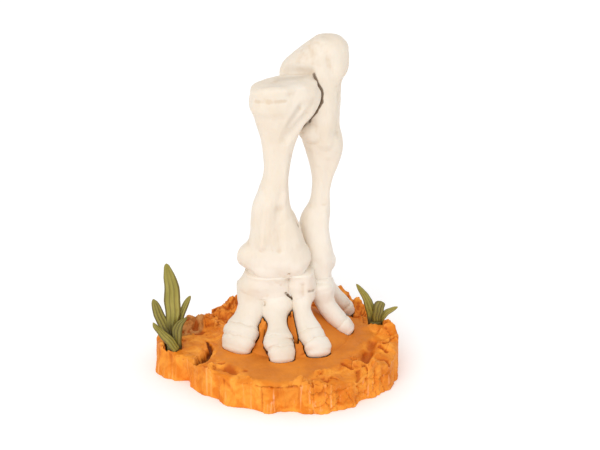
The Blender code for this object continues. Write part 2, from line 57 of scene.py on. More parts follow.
def reliefs(*rows):
    """Reliefs from rows of start, end, radius and height."""
    return [Relief(*row) for row in rows]


def chain(*stops):
    """Reliefs from stop to stop; each has the radius and height that follow its last stop's place."""
    return [Relief(a[:3], b[:3], *b[3:]) for a, b in zip(stops, stops[1:])]


def on_ground(*rows):
    """Reliefs of the ground, from rows of x, y at the start, x, y at the end, radius and height."""
    return [Relief((x0, y0, 0), (x1, y1, 0), radius, height) for x0, y0, x1, y1, radius, height in rows]


# ---- noise and falloffs on arrays of points

RANDOM = np.random.default_rng(41)
SHUFFLED = np.tile(RANDOM.permutation(256), 3)
SLOPES = RANDOM.normal(size=(256, 3))
SLOPES /= np.linalg.norm(SLOPES, axis=1)[:, None]


def noise3(points):
    """Gradient noise from about -1 to 1 at each point."""
    cell = np.floor(points).astype(int)
    inside = points - cell
    eased = inside**3 * (inside * (inside * 6 - 15) + 10)
    total = np.zeros(len(points))
    for corner in np.ndindex(2, 2, 2):
        k = (cell + corner) & 255
        slope = SLOPES[SHUFFLED[SHUFFLED[SHUFFLED[k[:, 0]] + k[:, 1]] + k[:, 2]]]
        share = np.prod(np.where(corner, eased, 1 - eased), axis=1)
        total += share * ((inside - corner) * slope).sum(1)
    return total * 1.7


def layered(layer, points, octaves, shift):
    """Sum of a noise's layers, each at half the size and height of the one before."""
    heights = [0.5**octave for octave in range(octaves)]
    layers = (height * layer(points * 2**octave + shift * octave) for octave, height in enumerate(heights))
    return sum(layers) / sum(heights)


def fractal(points, octaves):
    """Soft lumps of several sizes, from about -1 to 1."""
    return layered(noise3, points, octaves, 17.3)


def ridged(points, octaves):
    """Sharp crests and soft valleys, from 0 to 1."""
    return layered(lambda places: 1 - np.abs(noise3(places)), points, octaves, 5.1)


def ease(low, high, value):
    """0 below low, 1 above high, and smooth between."""
    share = np.clip((value - low) / (high - low), 0, 1)
    return share * share * (3 - 2 * share)


def from_segment(points, start, end):
    """Distance of each point from the segment between start and end."""
    start, run = np.array(start, float), np.subtract(end, start).astype(float)
    squared = run @ run
    share = np.clip((points - start) @ run / squared, 0, 1) if squared else np.zeros(len(points))
    return np.linalg.norm(points - start - share[:, None] * run, axis=1)


def fade(distance, radius):
    """1 at distance 0, falling smoothly to 0 at the radius."""
    return np.clip(1 - (distance / radius) ** 2, 0, None) ** 2


def relief_at(points, forms):
    """Summed height of the reliefs at each point."""
    total = np.zeros(len(points))
    for r in forms:
        total += r.height * fade(from_segment(points, r.start, r.end), r.radius)
    return total


# ---- forms made of rows of points


def curve(points, step):
    """Rows of a smooth curve through rows of numbers that begin with x, y and z; also the row of each of them."""
    points = np.array(points, float)
    spans = np.linalg.norm(np.diff(points[:, :3], axis=0), axis=1)
    slopes = np.diff(points, axis=0) / spans[:, None]
    before, after = spans[:-1, None], spans[1:, None]
    middle = (slopes[:-1] * after + slopes[1:] * before) / (before + after)
    ways = np.concatenate([slopes[:1], middle, slopes[-1:]])
    stops = np.concatenate([[0], np.cumsum(spans)])
    along = np.linspace(0, stops[-1], round(stops[-1] / step) + 1)
    i = np.clip(np.searchsorted(stops, along, side="right") - 1, 0, len(spans) - 1)
    t, span = ((along - stops[i]) / spans[i])[:, None], spans[i][:, None]
    a, b, go, come = points[i], points[i + 1], ways[i] * span, ways[i + 1] * span
    rows = a + (b - a) * t * t * (3 - 2 * t) + go * t * (1 - t) ** 2 - come * t * t * (1 - t)
    return rows, np.round(stops / stops[-1] * (len(rows) - 1)).astype(int)


def unit(vectors):
    return vectors / np.maximum(np.linalg.norm(vectors, axis=-1, keepdims=True), 1e-9)


def grid_normals(grid):
    """Unit normals of a grid of rows, on the side that the order of its points gives."""
    around = np.roll(grid, -1, axis=1) - np.roll(grid, 1, axis=1)
    return unit(np.cross(around, np.gradient(grid, axis=0)))


def blurred(grid, passes):
    """Averages a grid with its neighbours round the rows and along them."""
    for _ in range(passes):
        grid = (grid + np.roll(grid, 1, 1) + np.roll(grid, -1, 1)) / 3
        grid[1:-1] = (grid[1:-1] + grid[:-2] + grid[2:]) / 3
    return grid


def tube_faces(rows, columns):
    """Faces of a closed tube of rows whose two ends are each one face."""
    k = np.arange((rows - 1) * columns)
    row, column = k // columns, k % columns
    beside = (column + 1) % columns
    a, b = row * columns + column, row * columns + beside
    faces = np.stack([a, b, b + columns, a + columns], axis=1).tolist()
    last = (rows - 1) * columns
    return faces + [list(range(columns))[::-1], list(range(last, last + columns))]


class Form:
    """A closed tube of rows of points, with marks at its points that its material reads."""

    def __init__(self, grid, marks=("hollow", "seam")):
        self.grid = grid
        self.marks = {name: np.zeros(grid.shape[:2]) for name in marks}
        self.outward = np.sign((grid_normals(grid) * (grid - grid.mean(axis=1, keepdims=True))).sum())

    @property
    def points(self):
        return self.grid.reshape(-1, 3)

    def box(self):
        return self.points.min(0), self.points.max(0)

    def normals(self):
        return grid_normals(self.grid) * self.outward

    def faces(self, rows):
        """Faces of this many of its rows."""
        found = tube_faces(rows, self.grid.shape[1])
        return found if self.outward > 0 else [face[::-1] for face in found]

    def tree(self):
        return BVHTree.FromPolygons([tuple(p) for p in self.points], self.faces(len(self.grid)))

    def push(self, heights):
        """Moves the points along their normals."""
        self.grid = self.grid + self.normals() * heights.reshape(*self.grid.shape[:2], 1)

    def carve(self, forms):
        self.push(relief_at(self.points, forms))

    # Adds painted shade to a mark, from the reliefs' heights at the points
    def paint_shade(self, mark, places):
        added = relief_at(self.points, places).reshape(self.grid.shape[:2])
        self.marks[mark] = np.clip(self.marks[mark] + added, 0, 1)

    def weather(self, lump, grain, along=(1, 1, 0.35)):
        """Soft lumps and facets, and a faint grain along the bone."""
        places = self.points * along
        facets = fractal(places / 6.5, 3)
        lumps = lump * np.sign(facets) * np.abs(facets) ** 0.8
        self.push(lumps + grain * fractal(places / 1.4 + 9.0, 2))

    def relax(self, where, passes):
        """Smooths the grid at these points and a little beyond them."""
        share = where.reshape(self.grid.shape[:2]).astype(float)
        for _ in range(3):
            share = np.maximum(share, (np.roll(share, 1, 1) + np.roll(share, -1, 1)) / 2)
            share[1:-1] = np.maximum(share[1:-1], (share[:-2] + share[2:]) / 2)
        for _ in range(passes):
            smooth = (2 * self.grid + np.roll(self.grid, 1, 1) + np.roll(self.grid, -1, 1)) / 4
            smooth[1:-1] = (2 * smooth[1:-1] + smooth[:-2] + smooth[2:]) / 4
            self.grid = self.grid + (smooth - self.grid) * share[..., None]

    def cavities(self, passes, depth):
        """Paints shade on what lies deeper than its surroundings, in the hollow mark."""
        deeper = ((blurred(self.grid, passes) - self.grid) * self.normals()).sum(-1)
        self.marks["hollow"] = np.clip(self.marks["hollow"] + deeper / depth, 0, 1)

    def near(self, tree, box, reach):
        """Signed distance from another form's surface, negative inside it, and the nearest spots and normals."""
        distance = np.full(len(self.points), reach)
        spots, ways = np.zeros((len(self.points), 3)), np.zeros((len(self.points), 3))
        close = ((self.points > box[0] - reach) & (self.points < box[1] + reach)).all(1)
        for i in np.nonzero(close)[0]:
            spot, way, _, gap = tree.find_nearest(self.points[i], reach * 4)
            if spot is not None:
                distance[i] = gap if (Vector(self.points[i]) - spot).dot(way) > 0 else -gap
                spots[i], ways[i] = spot, way
        return distance, spots, ways

    def piece(self, name, first=0, last=None):
        """Writes the rows from first to last as the piece that stands for a bone's node."""
        points, normals = self.grid[first:last], self.normals()[first:last]
        marks = {mark: values[first:last].reshape(-1) for mark, values in self.marks.items()}
        faces = self.faces(len(points))
        new_piece(
            name + "_skin", points.reshape(-1, 3), faces, BONE, [name], marks, normals.reshape(-1, 3)
        )


def new_piece(name, points, faces, material, nodes, marks, normals):
    """A smooth mesh that stands for CAD nodes; marks are numbers for each point that its material reads."""
    mesh = bpy.data.meshes.new(name)
    mesh.from_pydata(points * MM, [], faces)
    mesh.shade_smooth()
    mesh.materials.append(material)
    for mark, values in marks.items():
        layer = mesh.attributes.new(mark, "FLOAT", "POINT")
        layer.data.foreach_set("value", values.astype(np.float32))
    mesh.normals_split_custom_set_from_vertices(normals.tolist())
    piece = bpy.data.objects.new(name, mesh)
    bpy.context.scene.collection.objects.link(piece)
    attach(piece, "root")
    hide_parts(*nodes)


def loft(rings, step, segments, ends, bluntness, level=False, flatness=(2.4, 2.4), lean=(0, 0)):
    """Grid of points over rings, and the row of each ring.

    The ends are domes of these heights, flatter as flatness rises over 2, that start leaning in by some degrees.
    """
    rows, stations = curve([Ring(*ring) for ring in rings], step)
    path = unit(np.gradient(rows[:, :3], axis=0))
    if level:
        path, wide, deep = (np.tile(way, (len(rows), 1)) for way in ([0.0, 0, 1], [1.0, 0, 0], [0.0, 1, 0]))
    else:
        wide = unit(np.cross(path, [0.0, 0, 1]))
        deep = np.cross(wide, path)
    caps = []
    for height, flat, start in zip(ends, flatness, np.radians(lean)):
        turn = np.linspace(start, math.pi / 2, max(8, round(4 * height / step)) + 1)[1:]
        round_in = (np.maximum(np.cos(turn), 1e-5) / math.cos(start)) ** (2 / flat)
        round_up = (np.sin(turn) ** (2 / flat) - math.sin(start)) / (1 - math.sin(start))
        caps.append((round_in, height * round_up))
    (in_0, up_0), (in_1, up_1) = caps
    shrink = np.concatenate([in_0[::-1], np.ones(len(rows)), in_1])[:, None]
    lift = np.concatenate([-up_0[::-1], np.zeros(len(rows)), up_1])[:, None]
    order = np.clip(np.arange(-len(in_0), len(rows) + len(in_1)), 0, len(rows) - 1)
    rows, path, wide, deep = rows[order], path[order], wide[order], deep[order]
    angles = np.linspace(0, math.tau, segments, endpoint=False)
    cos, sin, power = np.cos(angles), np.sin(angles), 2 / bluntness
    across = np.sign(cos) * np.abs(cos) ** power * rows[:, 3:4] * shrink
    through = np.sign(sin) * np.abs(sin) ** power * rows[:, 4:5] * shrink
    turn = np.radians(rows[:, 5:6])
    a = across * np.cos(turn) - through * np.sin(turn)
    b = across * np.sin(turn) + through * np.cos(turn)
    rise = (rows[:, 6:7] * a + rows[:, 7:8] * b + lift)[..., None]
    grid = rows[:, None, :3] + wide[:, None] * a[..., None] + deep[:, None] * b[..., None] + path[:, None] * rise
    return grid, stations + len(in_0)


# ---- materials


class Nodes:
    """Short calls that add nodes to a material."""

    def __init__(self, name, roughness):
        self.material = bpy.data.materials.new(name)
        self.material.use_nodes = True
        self.tree = self.material.node_tree
        self.shader = self.tree.nodes["Principled BSDF"]
        self.shader.inputs["Roughness"].default_value = roughness
        self.place = self.add("ShaderNodeTexCoord").outputs["Object"]

    def add(self, kind, **settings):
        node = self.tree.nodes.new(kind)
        for key, value in settings.items():
            setattr(node, key, value)
        return node

    def link(self, value, socket):
        """Sets a socket to a number, a colour or another node's output."""
        if isinstance(value, bpy.types.NodeSocket):
            self.tree.links.new(value, socket)
        else:
            socket.default_value = value

    def mark(self, name):
        return self.add("ShaderNodeAttribute", attribute_name=name).outputs["Fac"]

    def times(self, a, b):
        node = self.add("ShaderNodeMath", operation="MULTIPLY")
        self.link(a, node.inputs[0])
        self.link(b, node.inputs[1])
        return node.outputs[0]

    def stretched(self, scale):
        node = self.add("ShaderNodeMapping")
        self.link(self.place, node.inputs["Vector"])
        node.inputs["Scale"].default_value = scale
        return node.outputs["Vector"]

    def noise(self, scale, detail, where=None, warp=0.0):
        node = self.add("ShaderNodeTexNoise")
        self.link(self.place if where is None else where, node.inputs["Vector"])
        for name, number in (("Scale", scale), ("Detail", detail), ("Roughness", 0.55), ("Distortion", warp)):
            node.inputs[name].default_value = number
        return node.outputs["Fac"]

    def ramp(self, value, low, high, to=(0.0, 1.0)):
        """Goes smoothly from one number to another as a value goes from low to high."""
        node = self.add("ShaderNodeMapRange", interpolation_type="SMOOTHSTEP")
        self.link(value, node.inputs["Value"])
        for name, number in zip(("From Min", "From Max", "To Min", "To Max"), (low, high, *to)):
            node.inputs[name].default_value = number
        return node.outputs["Result"]

    def mix(self, share, a, b):
        node = self.add("ShaderNodeMix", data_type="RGBA")
        self.link(share, node.inputs["Factor"])
        self.link(a, node.inputs["A"])
        self.link(b, node.inputs["B"])
        return node.outputs["Result"]

    def patches(self, noise, low, high, first, second):
        """Two colours in soft patches."""
        return self.mix(self.ramp(noise, low, high), srgb(*first), srgb(*second))

    def flecks(self, colour, noise, low, high, most, fleck):
        """Lays a colour over another, up to a share, where a noise is high."""
        return self.mix(self.ramp(noise, low, high, (0.0, most)), colour, srgb(*fleck))

    def wash(self, colour, mark, low, high, most, tone):
        """Lays a colour over another, up to a share, at the points with a mark."""
        return self.flecks(colour, self.mark(mark), low, high, most, tone)

    def bump(self, height, distance, strength=1.0, under=None):
        node = self.add("ShaderNodeBump")
        self.link(height, node.inputs["Height"])
        node.inputs["Distance"].default_value = distance
        node.inputs["Strength"].default_value = strength
        if under is not None:
            self.link(under, node.inputs["Normal"])
        return node.outputs["Normal"]

    def finish(self, colour, roughness=None, normal=None):
        for value, name in ((colour, "Base Color"), (roughness, "Roughness"), (normal, "Normal")):
            if value is not None:
                self.link(value, self.shader.inputs[name])
        return self.material


def srgb(r, g, b):
    """A colour from its 0 to 255 screen values."""
    return (*((c / 255) ** 2.2 for c in (r, g, b)), 1)


def bone_material():
    n = Nodes("bone", 0.5)
    colour = n.patches(n.noise(38, 4, warp=0.4), 0.35, 0.7, (230, 218, 202), (226, 211, 191))
    # Painted light: paler bone on the shaded outer side of the foot and the front of the wrist
    colour = n.mix(n.mark("painted_light"), colour, srgb(236, 227, 214))
    grain = n.noise(700, 3, n.stretched((1, 1, 0.22)))
    colour = n.flecks(colour, grain, 0.55, 0.8, 0.1, (206, 184, 152))
    # Painted shade in the bone's hollows, creases and joint grooves
    colour = n.wash(colour, "hollow", 0.1, 1.0, 0.5, (206, 180, 148))
    # Darker painted shade in the crevice, gaps, pits, under the beak and on the dished top
    colour = n.wash(colour, "seam", 0.2, 1.0, 0.95, (104, 82, 60))
    rough = n.ramp(n.noise(220, 3), 0.3, 0.7, (0.46, 0.58))
    coarse = n.bump(n.noise(260, 4), 0.0003, 0.35)
    fine = n.bump(grain, 0.00012, 0.5, coarse)
    n.shader.inputs["Subsurface Weight"].default_value = 0.12
    n.shader.inputs["Subsurface Radius"].default_value = (1.0, 0.7, 0.45)
    n.shader.inputs["Subsurface Scale"].default_value = 0.002
    return n.finish(colour, rough, fine)


def earth_material():
    n = Nodes("earth", 0.6)
    n.shader.inputs["Specular IOR Level"].default_value = 0.2
    colour = n.patches(n.noise(90, 5, warp=0.8), 0.35, 0.65, (224, 124, 30), (250, 162, 60))
    colour = n.flecks(colour, n.noise(300, 4), 0.5, 0.8, 0.4, (206, 108, 26))
    colour = n.flecks(colour, n.noise(34, 3, warp=0.8), 0.46, 0.62, 0.45, (204, 110, 30))
    mud = n.patches(n.noise(55, 4), 0.35, 0.7, (206, 118, 40), (226, 135, 46))
    colour = n.mix(n.mark("mud"), colour, mud)
    streaks = n.noise(420, 3, n.stretched((1, 1, 0.05)))
    chalk = n.times(n.ramp(streaks, 0.56, 0.72), n.mark("wall"))
    colour = n.mix(n.times(chalk, 0.6), colour, srgb(252, 176, 104))
    pink = n.times(chalk, n.ramp(n.noise(45, 3), 0.5, 0.62))
    colour = n.mix(n.times(pink, 0.7), colour, srgb(252, 178, 150))
    stone = n.patches(n.noise(260, 4), 0.42, 0.62, (164, 102, 50), (206, 144, 84))
    colour = n.mix(n.times(n.mark("rock"), 0.92), colour, stone)
    colour = n.wash(colour, "crest", 0.3, 1.0, 0.3, (255, 172, 84))
    # Painted shade: darker in the ground's hollows, near black in the crack, the gaps round the toes and the sockets
    colour = n.wash(colour, "hollow", 0.1, 1.0, 0.8, (182, 86, 16))
    colour = n.wash(colour, "deep", 0.15, 1.0, 0.95, (60, 25, 8))
    rough = n.ramp(n.noise(180, 3), 0.3, 0.7, (0.5, 0.68))
    coarse = n.bump(n.noise(420, 5), 0.0006, 0.4)
    fine = n.bump(n.noise(1300, 3), 0.0002, 0.35, coarse)
    return n.finish(colour, rough, fine)


def leaf_material():
    n = Nodes("leaf", 0.5)
    colour = n.patches(n.noise(90, 4, warp=0.3), 0.35, 0.7, (140, 129, 52), (160, 147, 68))
    streaks = n.noise(480, 3, n.stretched((1, 1, 0.15)))
    colour = n.flecks(colour, streaks, 0.45, 0.75, 0.35, (178, 166, 90))
    # Dark wash in the grooves with painted shade, and painted shade at the leaves' feet and on the root
    colour = n.wash(colour, "hollow", 0.05, 0.9, 0.85, (88, 74, 22))
    colour = n.wash(colour, "deep", 0.1, 1.0, 0.9, (58, 44, 18))
    rough = n.ramp(n.noise(240, 3), 0.3, 0.7, (0.42, 0.56))
    fine = n.bump(n.noise(800, 4), 0.0002, 0.35)
    return n.finish(colour, rough, fine)


BONE, EARTH, LEAF = bone_material(), earth_material(), leaf_material()


# ---- bones

RADIUS_RINGS = [
    (-1, -1, 61.5, 15.5, 10), (-1, -1, 65, 19.2, 12), (-0.7, -1, 69, 21, 13), (-1.1, -1, 74.5, 20.8, 12.8),
    (-0.6, -1, 79, 17.9, 12.2), (-0.9, -1, 88, 15.2, 11), (-2.5, -1, 96, 13.2, 9.8), (-3.4, -1, 104, 11.4, 9),
    (-2, -1, 114, 9, 8.2), (-0.1, -0.5, 126, 7.6, 7.8), (0.6, 0, 137, 8.8, 8, 8), (1.3, 0.5, 147, 11, 9, 8),
    (2.2, 1, 154.5, 14, 10.6, 12), (4.2, 2, 161, 18, 12.2, 16), (5, 2.5, 166.5, 21, 13.4, 20, 0.03),
    (5.2, 3, 171.5, 21.8, 13.8, 22, 0.05), (5, 3, 176.8, 20.8, 13.4, 22, 0.09, 0.02),
]
RADIUS_RELIEFS = reliefs(
    ((-21, -2, 75), (-20, -2, 70), 8, 1.6), ((-9, -13, 84), (-5, -10, 106), 6, 1.3),
    ((1, -12, 80), (2, -9, 104), 4.5, -1.3), ((7, -8, 112), (14, -11, 84), 6, 1.0),
    ((19, -6, 163), (6, -10, 148), 5, -2.0), ((10, -11, 181), (10, -12, 168), 4.5, -0.5),
    ((16, -9, 178), (19, -7, 170), 5, 0.8), ((-12, -11, 163), (4, -12, 163), 4, -0.3),
    ((2, 2, 182), (10, 5, 184), 12, -1.2), ((-12, -12, 64), (-4, -13, 63), 6, 1.0),
    ((12, -11, 66), (13, -10, 64), 6, 1.0),
)
ULNA_RINGS = [
    (26, 10.5, 53, 5.4, 6.5), (25, 11, 57.5, 8.2, 8.2), (25.3, 12, 64, 9.2, 9), (23.8, 13.5, 74, 9, 9.2),
    (22.4, 15, 83, 9.1, 8.6), (23.2, 16, 90.5, 8.7, 8), (25.4, 17, 98, 6.7, 7), (26.4, 18, 107, 5.5, 6.8),
    (27.4, 18.5, 115, 6.3, 7), (28.3, 18.5, 123, 8.6, 7.6), (28.2, 18.5, 133, 11.2, 8.8), (26.9, 18, 141, 12.1, 10),
    (26.6, 18, 146, 11.2, 10.8), (29, 17.5, 151, 8.4, 11.4), (29.4, 17.5, 157, 8.2, 12),
    (27.6, 17.5, 163.5, 10.4, 12.6), (24.2, 18, 169.5, 14, 13), (20.9, 19.5, 175.5, 18, 13),
    (21.9, 21, 182, 20.2, 12.6), (24.1, 23, 187.5, 18.8, 12), (27, 23.5, 192.5, 15.6, 11.4),
    (29.7, 24, 197.5, 11.8, 9.8), (30.3, 24, 200.5, 8.6, 7.8),
]
ULNA_RELIEFS = reliefs(
    ((37, 14, 62), (36, 14, 59), 6, 2.4), ((29, 7, 168), (29, 8, 140), 6, 1.2),
    ((37, 13, 168), (36, 12, 146), 5, -1.4), ((17, 12, 146), (22, 10, 144), 5, 1.2),
    ((6, 13, 182), (16, 12, 180), 6, 1.2), ((12, 11, 192), (20, 13, 195), 6, -0.6),
    ((31, 12, 190), (33, 12, 180), 5, -1.0), ((40, 15, 176), (38, 14, 168), 5, -1.2),
    ((31, 8, 72), (30, 9, 96), 5, 0.9),
)
# Rings and reliefs of the wrist bones
CARPALS = {
    "carpal_inner": (
        [(-7.6, -0.5, 47.6, 14, 10, 0, -0.1), (-7.6, -1, 53.5, 14.9, 11.2), (-6.6, -1, 60.6, 12.9, 11.2)],
        [
            Relief((-16, -9, 54), (-10, -11, 54), 7, 0.5),
            *chain((-2, -13, 60), (3, -12, 56, 2.4, -0.5), (6.6, -9, 49, 2.4, -0.6)),
        ],
    ),
    "carpal_middle": (
        [(15, -0.5, 45.5, 6.8, 8.6), (14.8, -0.5, 52, 7.8, 10.4), (15, -0.5, 61.2, 7.2, 10.8)],
        [Relief((15.5, -10, 56), (16, -10, 46), 3, -1)],
    ),
    "carpal_outer": (
        [(27, 7, 43.5, 5.4, 8), (27, 7, 48, 6, 9), (27, 8, 52.5, 5.2, 8)],
        [Relief((23, -1, 50), (31, -1, 51), 3, 1)],
    ),
}
# Toes as one curve of rings each, from the wrist to the tip, and the rings where one bone meets the next
DIGITS = {
    "1": ([
        (-15.6, 1, 52, 8.2, 8.4), (-16.2, -3, 46.5, 8.2, 7.9), (-16.0, -7.5, 41, 8.0, 6.5),
        (-17.8, -11.6, 35.6, 8.7, 5.8), (-20.3, -14.8, 31.8, 10.1, 5.7), (-21.6, -17.6, 29, 11.2, 6.2),
        (-22.4, -19.8, 27, 10.9, 5.8), (-23.5, -22, 24, 10.8, 5.6), (-24.4, -23.6, 20.6, 9.6, 5.2),
    ], (4, 6)),
    "2": ([
        (-0.8, -1, 48.5, 9.2, 8.6), (-0.3, -4, 45, 9.2, 7.6), (0, -8, 42.4, 9, 6.4),
        (-0.7, -13, 38.8, 7.7, 5.6), (0.1, -19, 34.6, 5.7, 5.2), (0.6, -24, 31, 7.2, 5.3),
        (0.9, -27, 29, 8.8, 6), (1.1, -29.8, 27, 9.2, 5.8), (2.2, -32.2, 25.2, 8.4, 5.4),
        (2.9, -35, 22.6, 8.2, 5.3), (3.2, -36.8, 20, 7.4, 5),
    ], (6, 8)),
    "3": ([
        (15.4, 0, 49, 7, 7.6), (15.4, -3, 45.5, 6.4, 6.6), (15.2, -6.5, 42.6, 5.7, 5.5),
        (15.2, -10, 39.5, 5.4, 5.3), (16.4, -14, 35.8, 6, 5.2), (19.4, -19.6, 30.6, 7.6, 5.4),
        (20.9, -22.6, 28.2, 8.2, 5.8), (22.3, -24.6, 26.4, 8.0, 5.4), (24.4, -27.8, 23.4, 8.5, 5.3),
        (25.0, -29.6, 20.6, 7.5, 5),
    ], (5, 7)),
    "4": ([
        (26.6, 5.4, 48, 7.2, 6.6), (27.6, 4.5, 44, 7, 6.3), (28.6, 3.8, 40, 6.5, 6),
        (30.4, 3, 36, 6.1, 5.8), (33.2, 2.2, 32, 6, 5.6), (35.8, 1.7, 29, 6.2, 5.5),
        (37.6, 1.3, 27.2, 6.1, 5.3), (40.4, 1, 24.2, 6.7, 5.3), (42.6, 0.9, 21.4, 6.2, 5),
    ], (6,)),
    "5": ([
        (28.6, 12.5, 47, 5.6, 5.4), (31.6, 16, 41.6, 5.2, 5), (34, 19, 37.4, 4.9, 4.8),
        (37, 22, 32.6, 4.8, 4.7), (39.2, 23.8, 29.6, 5, 4.7), (40.4, 24.8, 27.8, 4.9, 4.6),
        (42.3, 26.4, 24.4, 5.2, 4.7), (43.4, 27.3, 21.6, 4.8, 4.4),
    ], (5,)),
}
# Finer shapes, carved after the larger ones
RADIUS_DETAIL = reliefs(
    ((-12, -10, 178), (6, -13, 179), 4.5, 0.5),  # rim
    ((-9, -9, 181), (9, -11, 181.6), 4.5, 1.2),
    ((-13, -10, 172.4), (6, -12, 173.4), 2.2, -0.5),  # neck under the rim
    ((25, 8, 179), (26, 8, 170), 5, -1.2),
    ((24, 12, 185), (27, 12, 177), 7, -2.0),
    ((24, 5, 184), (25, 6, 180), 7, -1.8),
    ((10.4, -12, 184), (13.2, -11, 179), 3, -0.45),  # notch between the condyles
    ((13.2, -11, 179), (13.6, -12, 172), 3, -0.45),
    ((17, -9, 180), (22, -4, 176), 5, 0.9),
    ((16, -9, 169), (24, -2, 168), 5, -1.2),
    ((13.6, -9.6, 166), (3, -11, 146), 4.2, -1.0),
    ((8, -10, 155), (6, -8, 120), 4, 0.5),
    ((-6, -10, 150), (-4, -9, 108), 4, 0.35),
    ((2, -10, 104), (2, -9, 113), 4, -0.6),
    ((7, -8, 132), (2.5, -9, 98), 3, 0.4),
    ((11, 2, 97), (13, 2, 91), 5, 0.8),
    ((10, -5, 128), (9, -8, 100), 4.5, -0.7),
    ((-8, -12, 108), (-9, -13.5, 82), 3, 0.7),
    ((-3, -13, 98), (-2.4, -14, 80), 2, -0.7),
    ((2.5, -12, 103), (1.6, -13, 88), 2.2, -0.5),
    ((-19, -6, 78), (-22, -3, 70), 5, 1.0),
    ((-15, -11, 74), (-18, -9, 66), 4, -0.7),
    ((-20, -5, 63), (-16, -10, 62.5), 4.5, -1.0),
    ((-2, -14, 71), (10, -13, 70), 7, 0.5),
)
ULNA_DETAIL = reliefs(
    ((4, 12, 182.5), (20, 10, 182), 6, -1.8),  # underside of the beak
    ((21, 13, 159), (19, 12, 149), 11, 4.0),
    ((18, 13, 94), (17, 12, 88), 6, 0.8),
    ((33, 14, 197), (36, 14, 186), 5, 0.6),
    ((24, 8, 172), (26, 8, 156), 5, 1.0),
    ((34, 12, 174), (36, 12, 150), 3.5, -0.9),
    ((36, 14, 130), (31, 13, 104), 3.5, 0.6),
    ((31, 11, 128), (28, 11, 100), 3, -0.5),
    ((20, 9, 137), (23, 9, 126), 4, 0.8),
    ((28, 7, 92), (28, 5, 64), 4, 0.6),
    ((34, 9, 84), (33, 9, 66), 3.5, -0.6),
)
SOLE_LEVEL = 16.4
FUSED_GAP, CREVICE_WIDTH = 0.02, 1.25
# Where the crevice between the two long bones stands open, and how far
CREVICE = [
    *chain((23, 9, 180.5), (26, 9, 176, 4.0, 0.6), (27, 10, 166, 7, 1.2), (19, 9, 154, 8, 1.3), (14, 9, 147, 6, 0.8)),
    *chain((18.5, 6, 82), (21, 4, 67, 5, 0.3), (16.8, 2, 58, 5, 0.35)),
]
# Painted shade in the crevice, under the beak, in the dished top and in the neck's crease
CREVICE_SHADE = chain(
    (22, 9.8, 182.8), (24.1, 7.7, 177.5, 1.3, 1.1), (26.6, 5, 172.5, 1.9, 1.0), (26.4, 4.5, 167.6, 1.8, 1.0),
    (23, 5.6, 161.5, 2.2, 1.0), (19, 9, 154.5, 2.8, 1.0), (14, 9, 149, 2.6, 0.8),
)
BEAK_SHADE = [Relief((5, 13, 185.5), (19, 11, 185), 9, 0.42), Relief((33, 11, 172), (33, 11, 160), 4, 0.3)]
DISH_SHADE = [
    Relief((1, 6, 181), (16, 7, 182), 9, 0.42), Relief((13, -8.6, 169), (3.5, -11, 152), 5, 0.42),
    Relief((8, -5, 138), (7.4, -5, 110), 3.5, 0.35),
]
NECK_SHADE = [
    *chain((-15, -8, 172.6), (-4, -12.4, 173.2, 2.8, 0.6), (6, -12.4, 173.8, 2.8, 0.6)),
    Relief((26, 20, 200), (16, 14, 192), 16, 0.6),
]
# Small pits, with their depths, and the open gap at the wrist, both darkened with painted shade
PITS = reliefs(
    ((-7.9, -11.6, 44.6), (-7.7, -11.6, 43.4), 1.9, 0.6), ((7.2, -11.5, 64.2), (7.1, -11.5, 63.3), 1.3, 0.9),
    ((19, -9.4, 51.6), (22.6, -6, 50.6), 2, 0.65), ((12, -1.3, 94.4), (12.9, -1.6, 91), 1.9, 0.8),
)
WRIST_GAP = chain((5.3, -9.6, 50.3), (6.6, -8.2, 48.2, 1.25, 1.4), (9.2, -7.7, 45.7, 1.35, 1.4))
TOE_STEP = 0.32  # from one row of a toe to the next
JOINT_OFFSET, JOINT_WANDER, JOINT_DEPTH = 1.5, 1.2, 0.32  # of the groove past each joint
JOINT_WIDTH, JOINT_SHADE_WIDTH = 1.5, 0.9


def swell(forms, reach=4.4, rise=1.6, top=72):
    """Rounds the inner corners where bones meet below a level, by lifting each surface towards its neighbours."""
    trees = {name: (form.tree(), form.box()) for name, form in forms.items()}
    lifts = {}
    for name, form in forms.items():
        lift = np.zeros(len(form.points))
        for other, (tree, box) in trees.items():
            if other != name:
                distance, _, _ = form.near(tree, (box[0], np.minimum(box[1], [99, 99, top])), reach)
                added = rise * np.clip(1 - np.maximum(distance, 0) / reach, 0, 1) ** 2
                if name.startswith("toe") and other.startswith("toe"):
                    added = added * ease(31, 36, form.points[:, 2])
                lift = np.maximum(lift, added)
        lift = blurred((lift * (1 - ease(top - 6, top, form.points[:, 2]))).reshape(form.grid.shape[:2]), 4)
        lifts[name] = lift * np.sqrt(1 - np.clip(form.normals()[..., 2], -1, 1) ** 2)
    for name, form in forms.items():
        form.push(lifts[name])


def long_bone(rings, *carvings, **shape):
    """A bone on level rings, carved with one list of reliefs after another."""
    bone = Form(loft(rings, level=True, **shape)[0])
    for forms in carvings:
        bone.carve(forms)
    bone.weather(lump=0.35, grain=0.05)
    return bone


def fit_ulna(ulna, radius):
    """Keeps the ulna off the radius: shut where the two fuse, open down the crevice, with painted shade in it."""
    distance, spots, ways = ulna.near(radius.tree(), radius.box(), 5.0)
    gap = FUSED_GAP + CREVICE_WIDTH * np.clip(relief_at(ulna.points, CREVICE), 0, 1)
    close = (distance < gap) & (distance > -3.5)
    moved = np.where(close[:, None], spots + ways * gap[:, None], ulna.points)
    ulna.grid = moved.reshape(ulna.grid.shape)
    ulna.relax(close, 4)
    shade = np.clip(1.2 - np.maximum(distance - gap, 0) / 1.1, 0, 1) * np.clip((gap - 0.2) / 0.7, 0, 1)
    ulna.marks["seam"] = shade.reshape(ulna.grid.shape[:2])


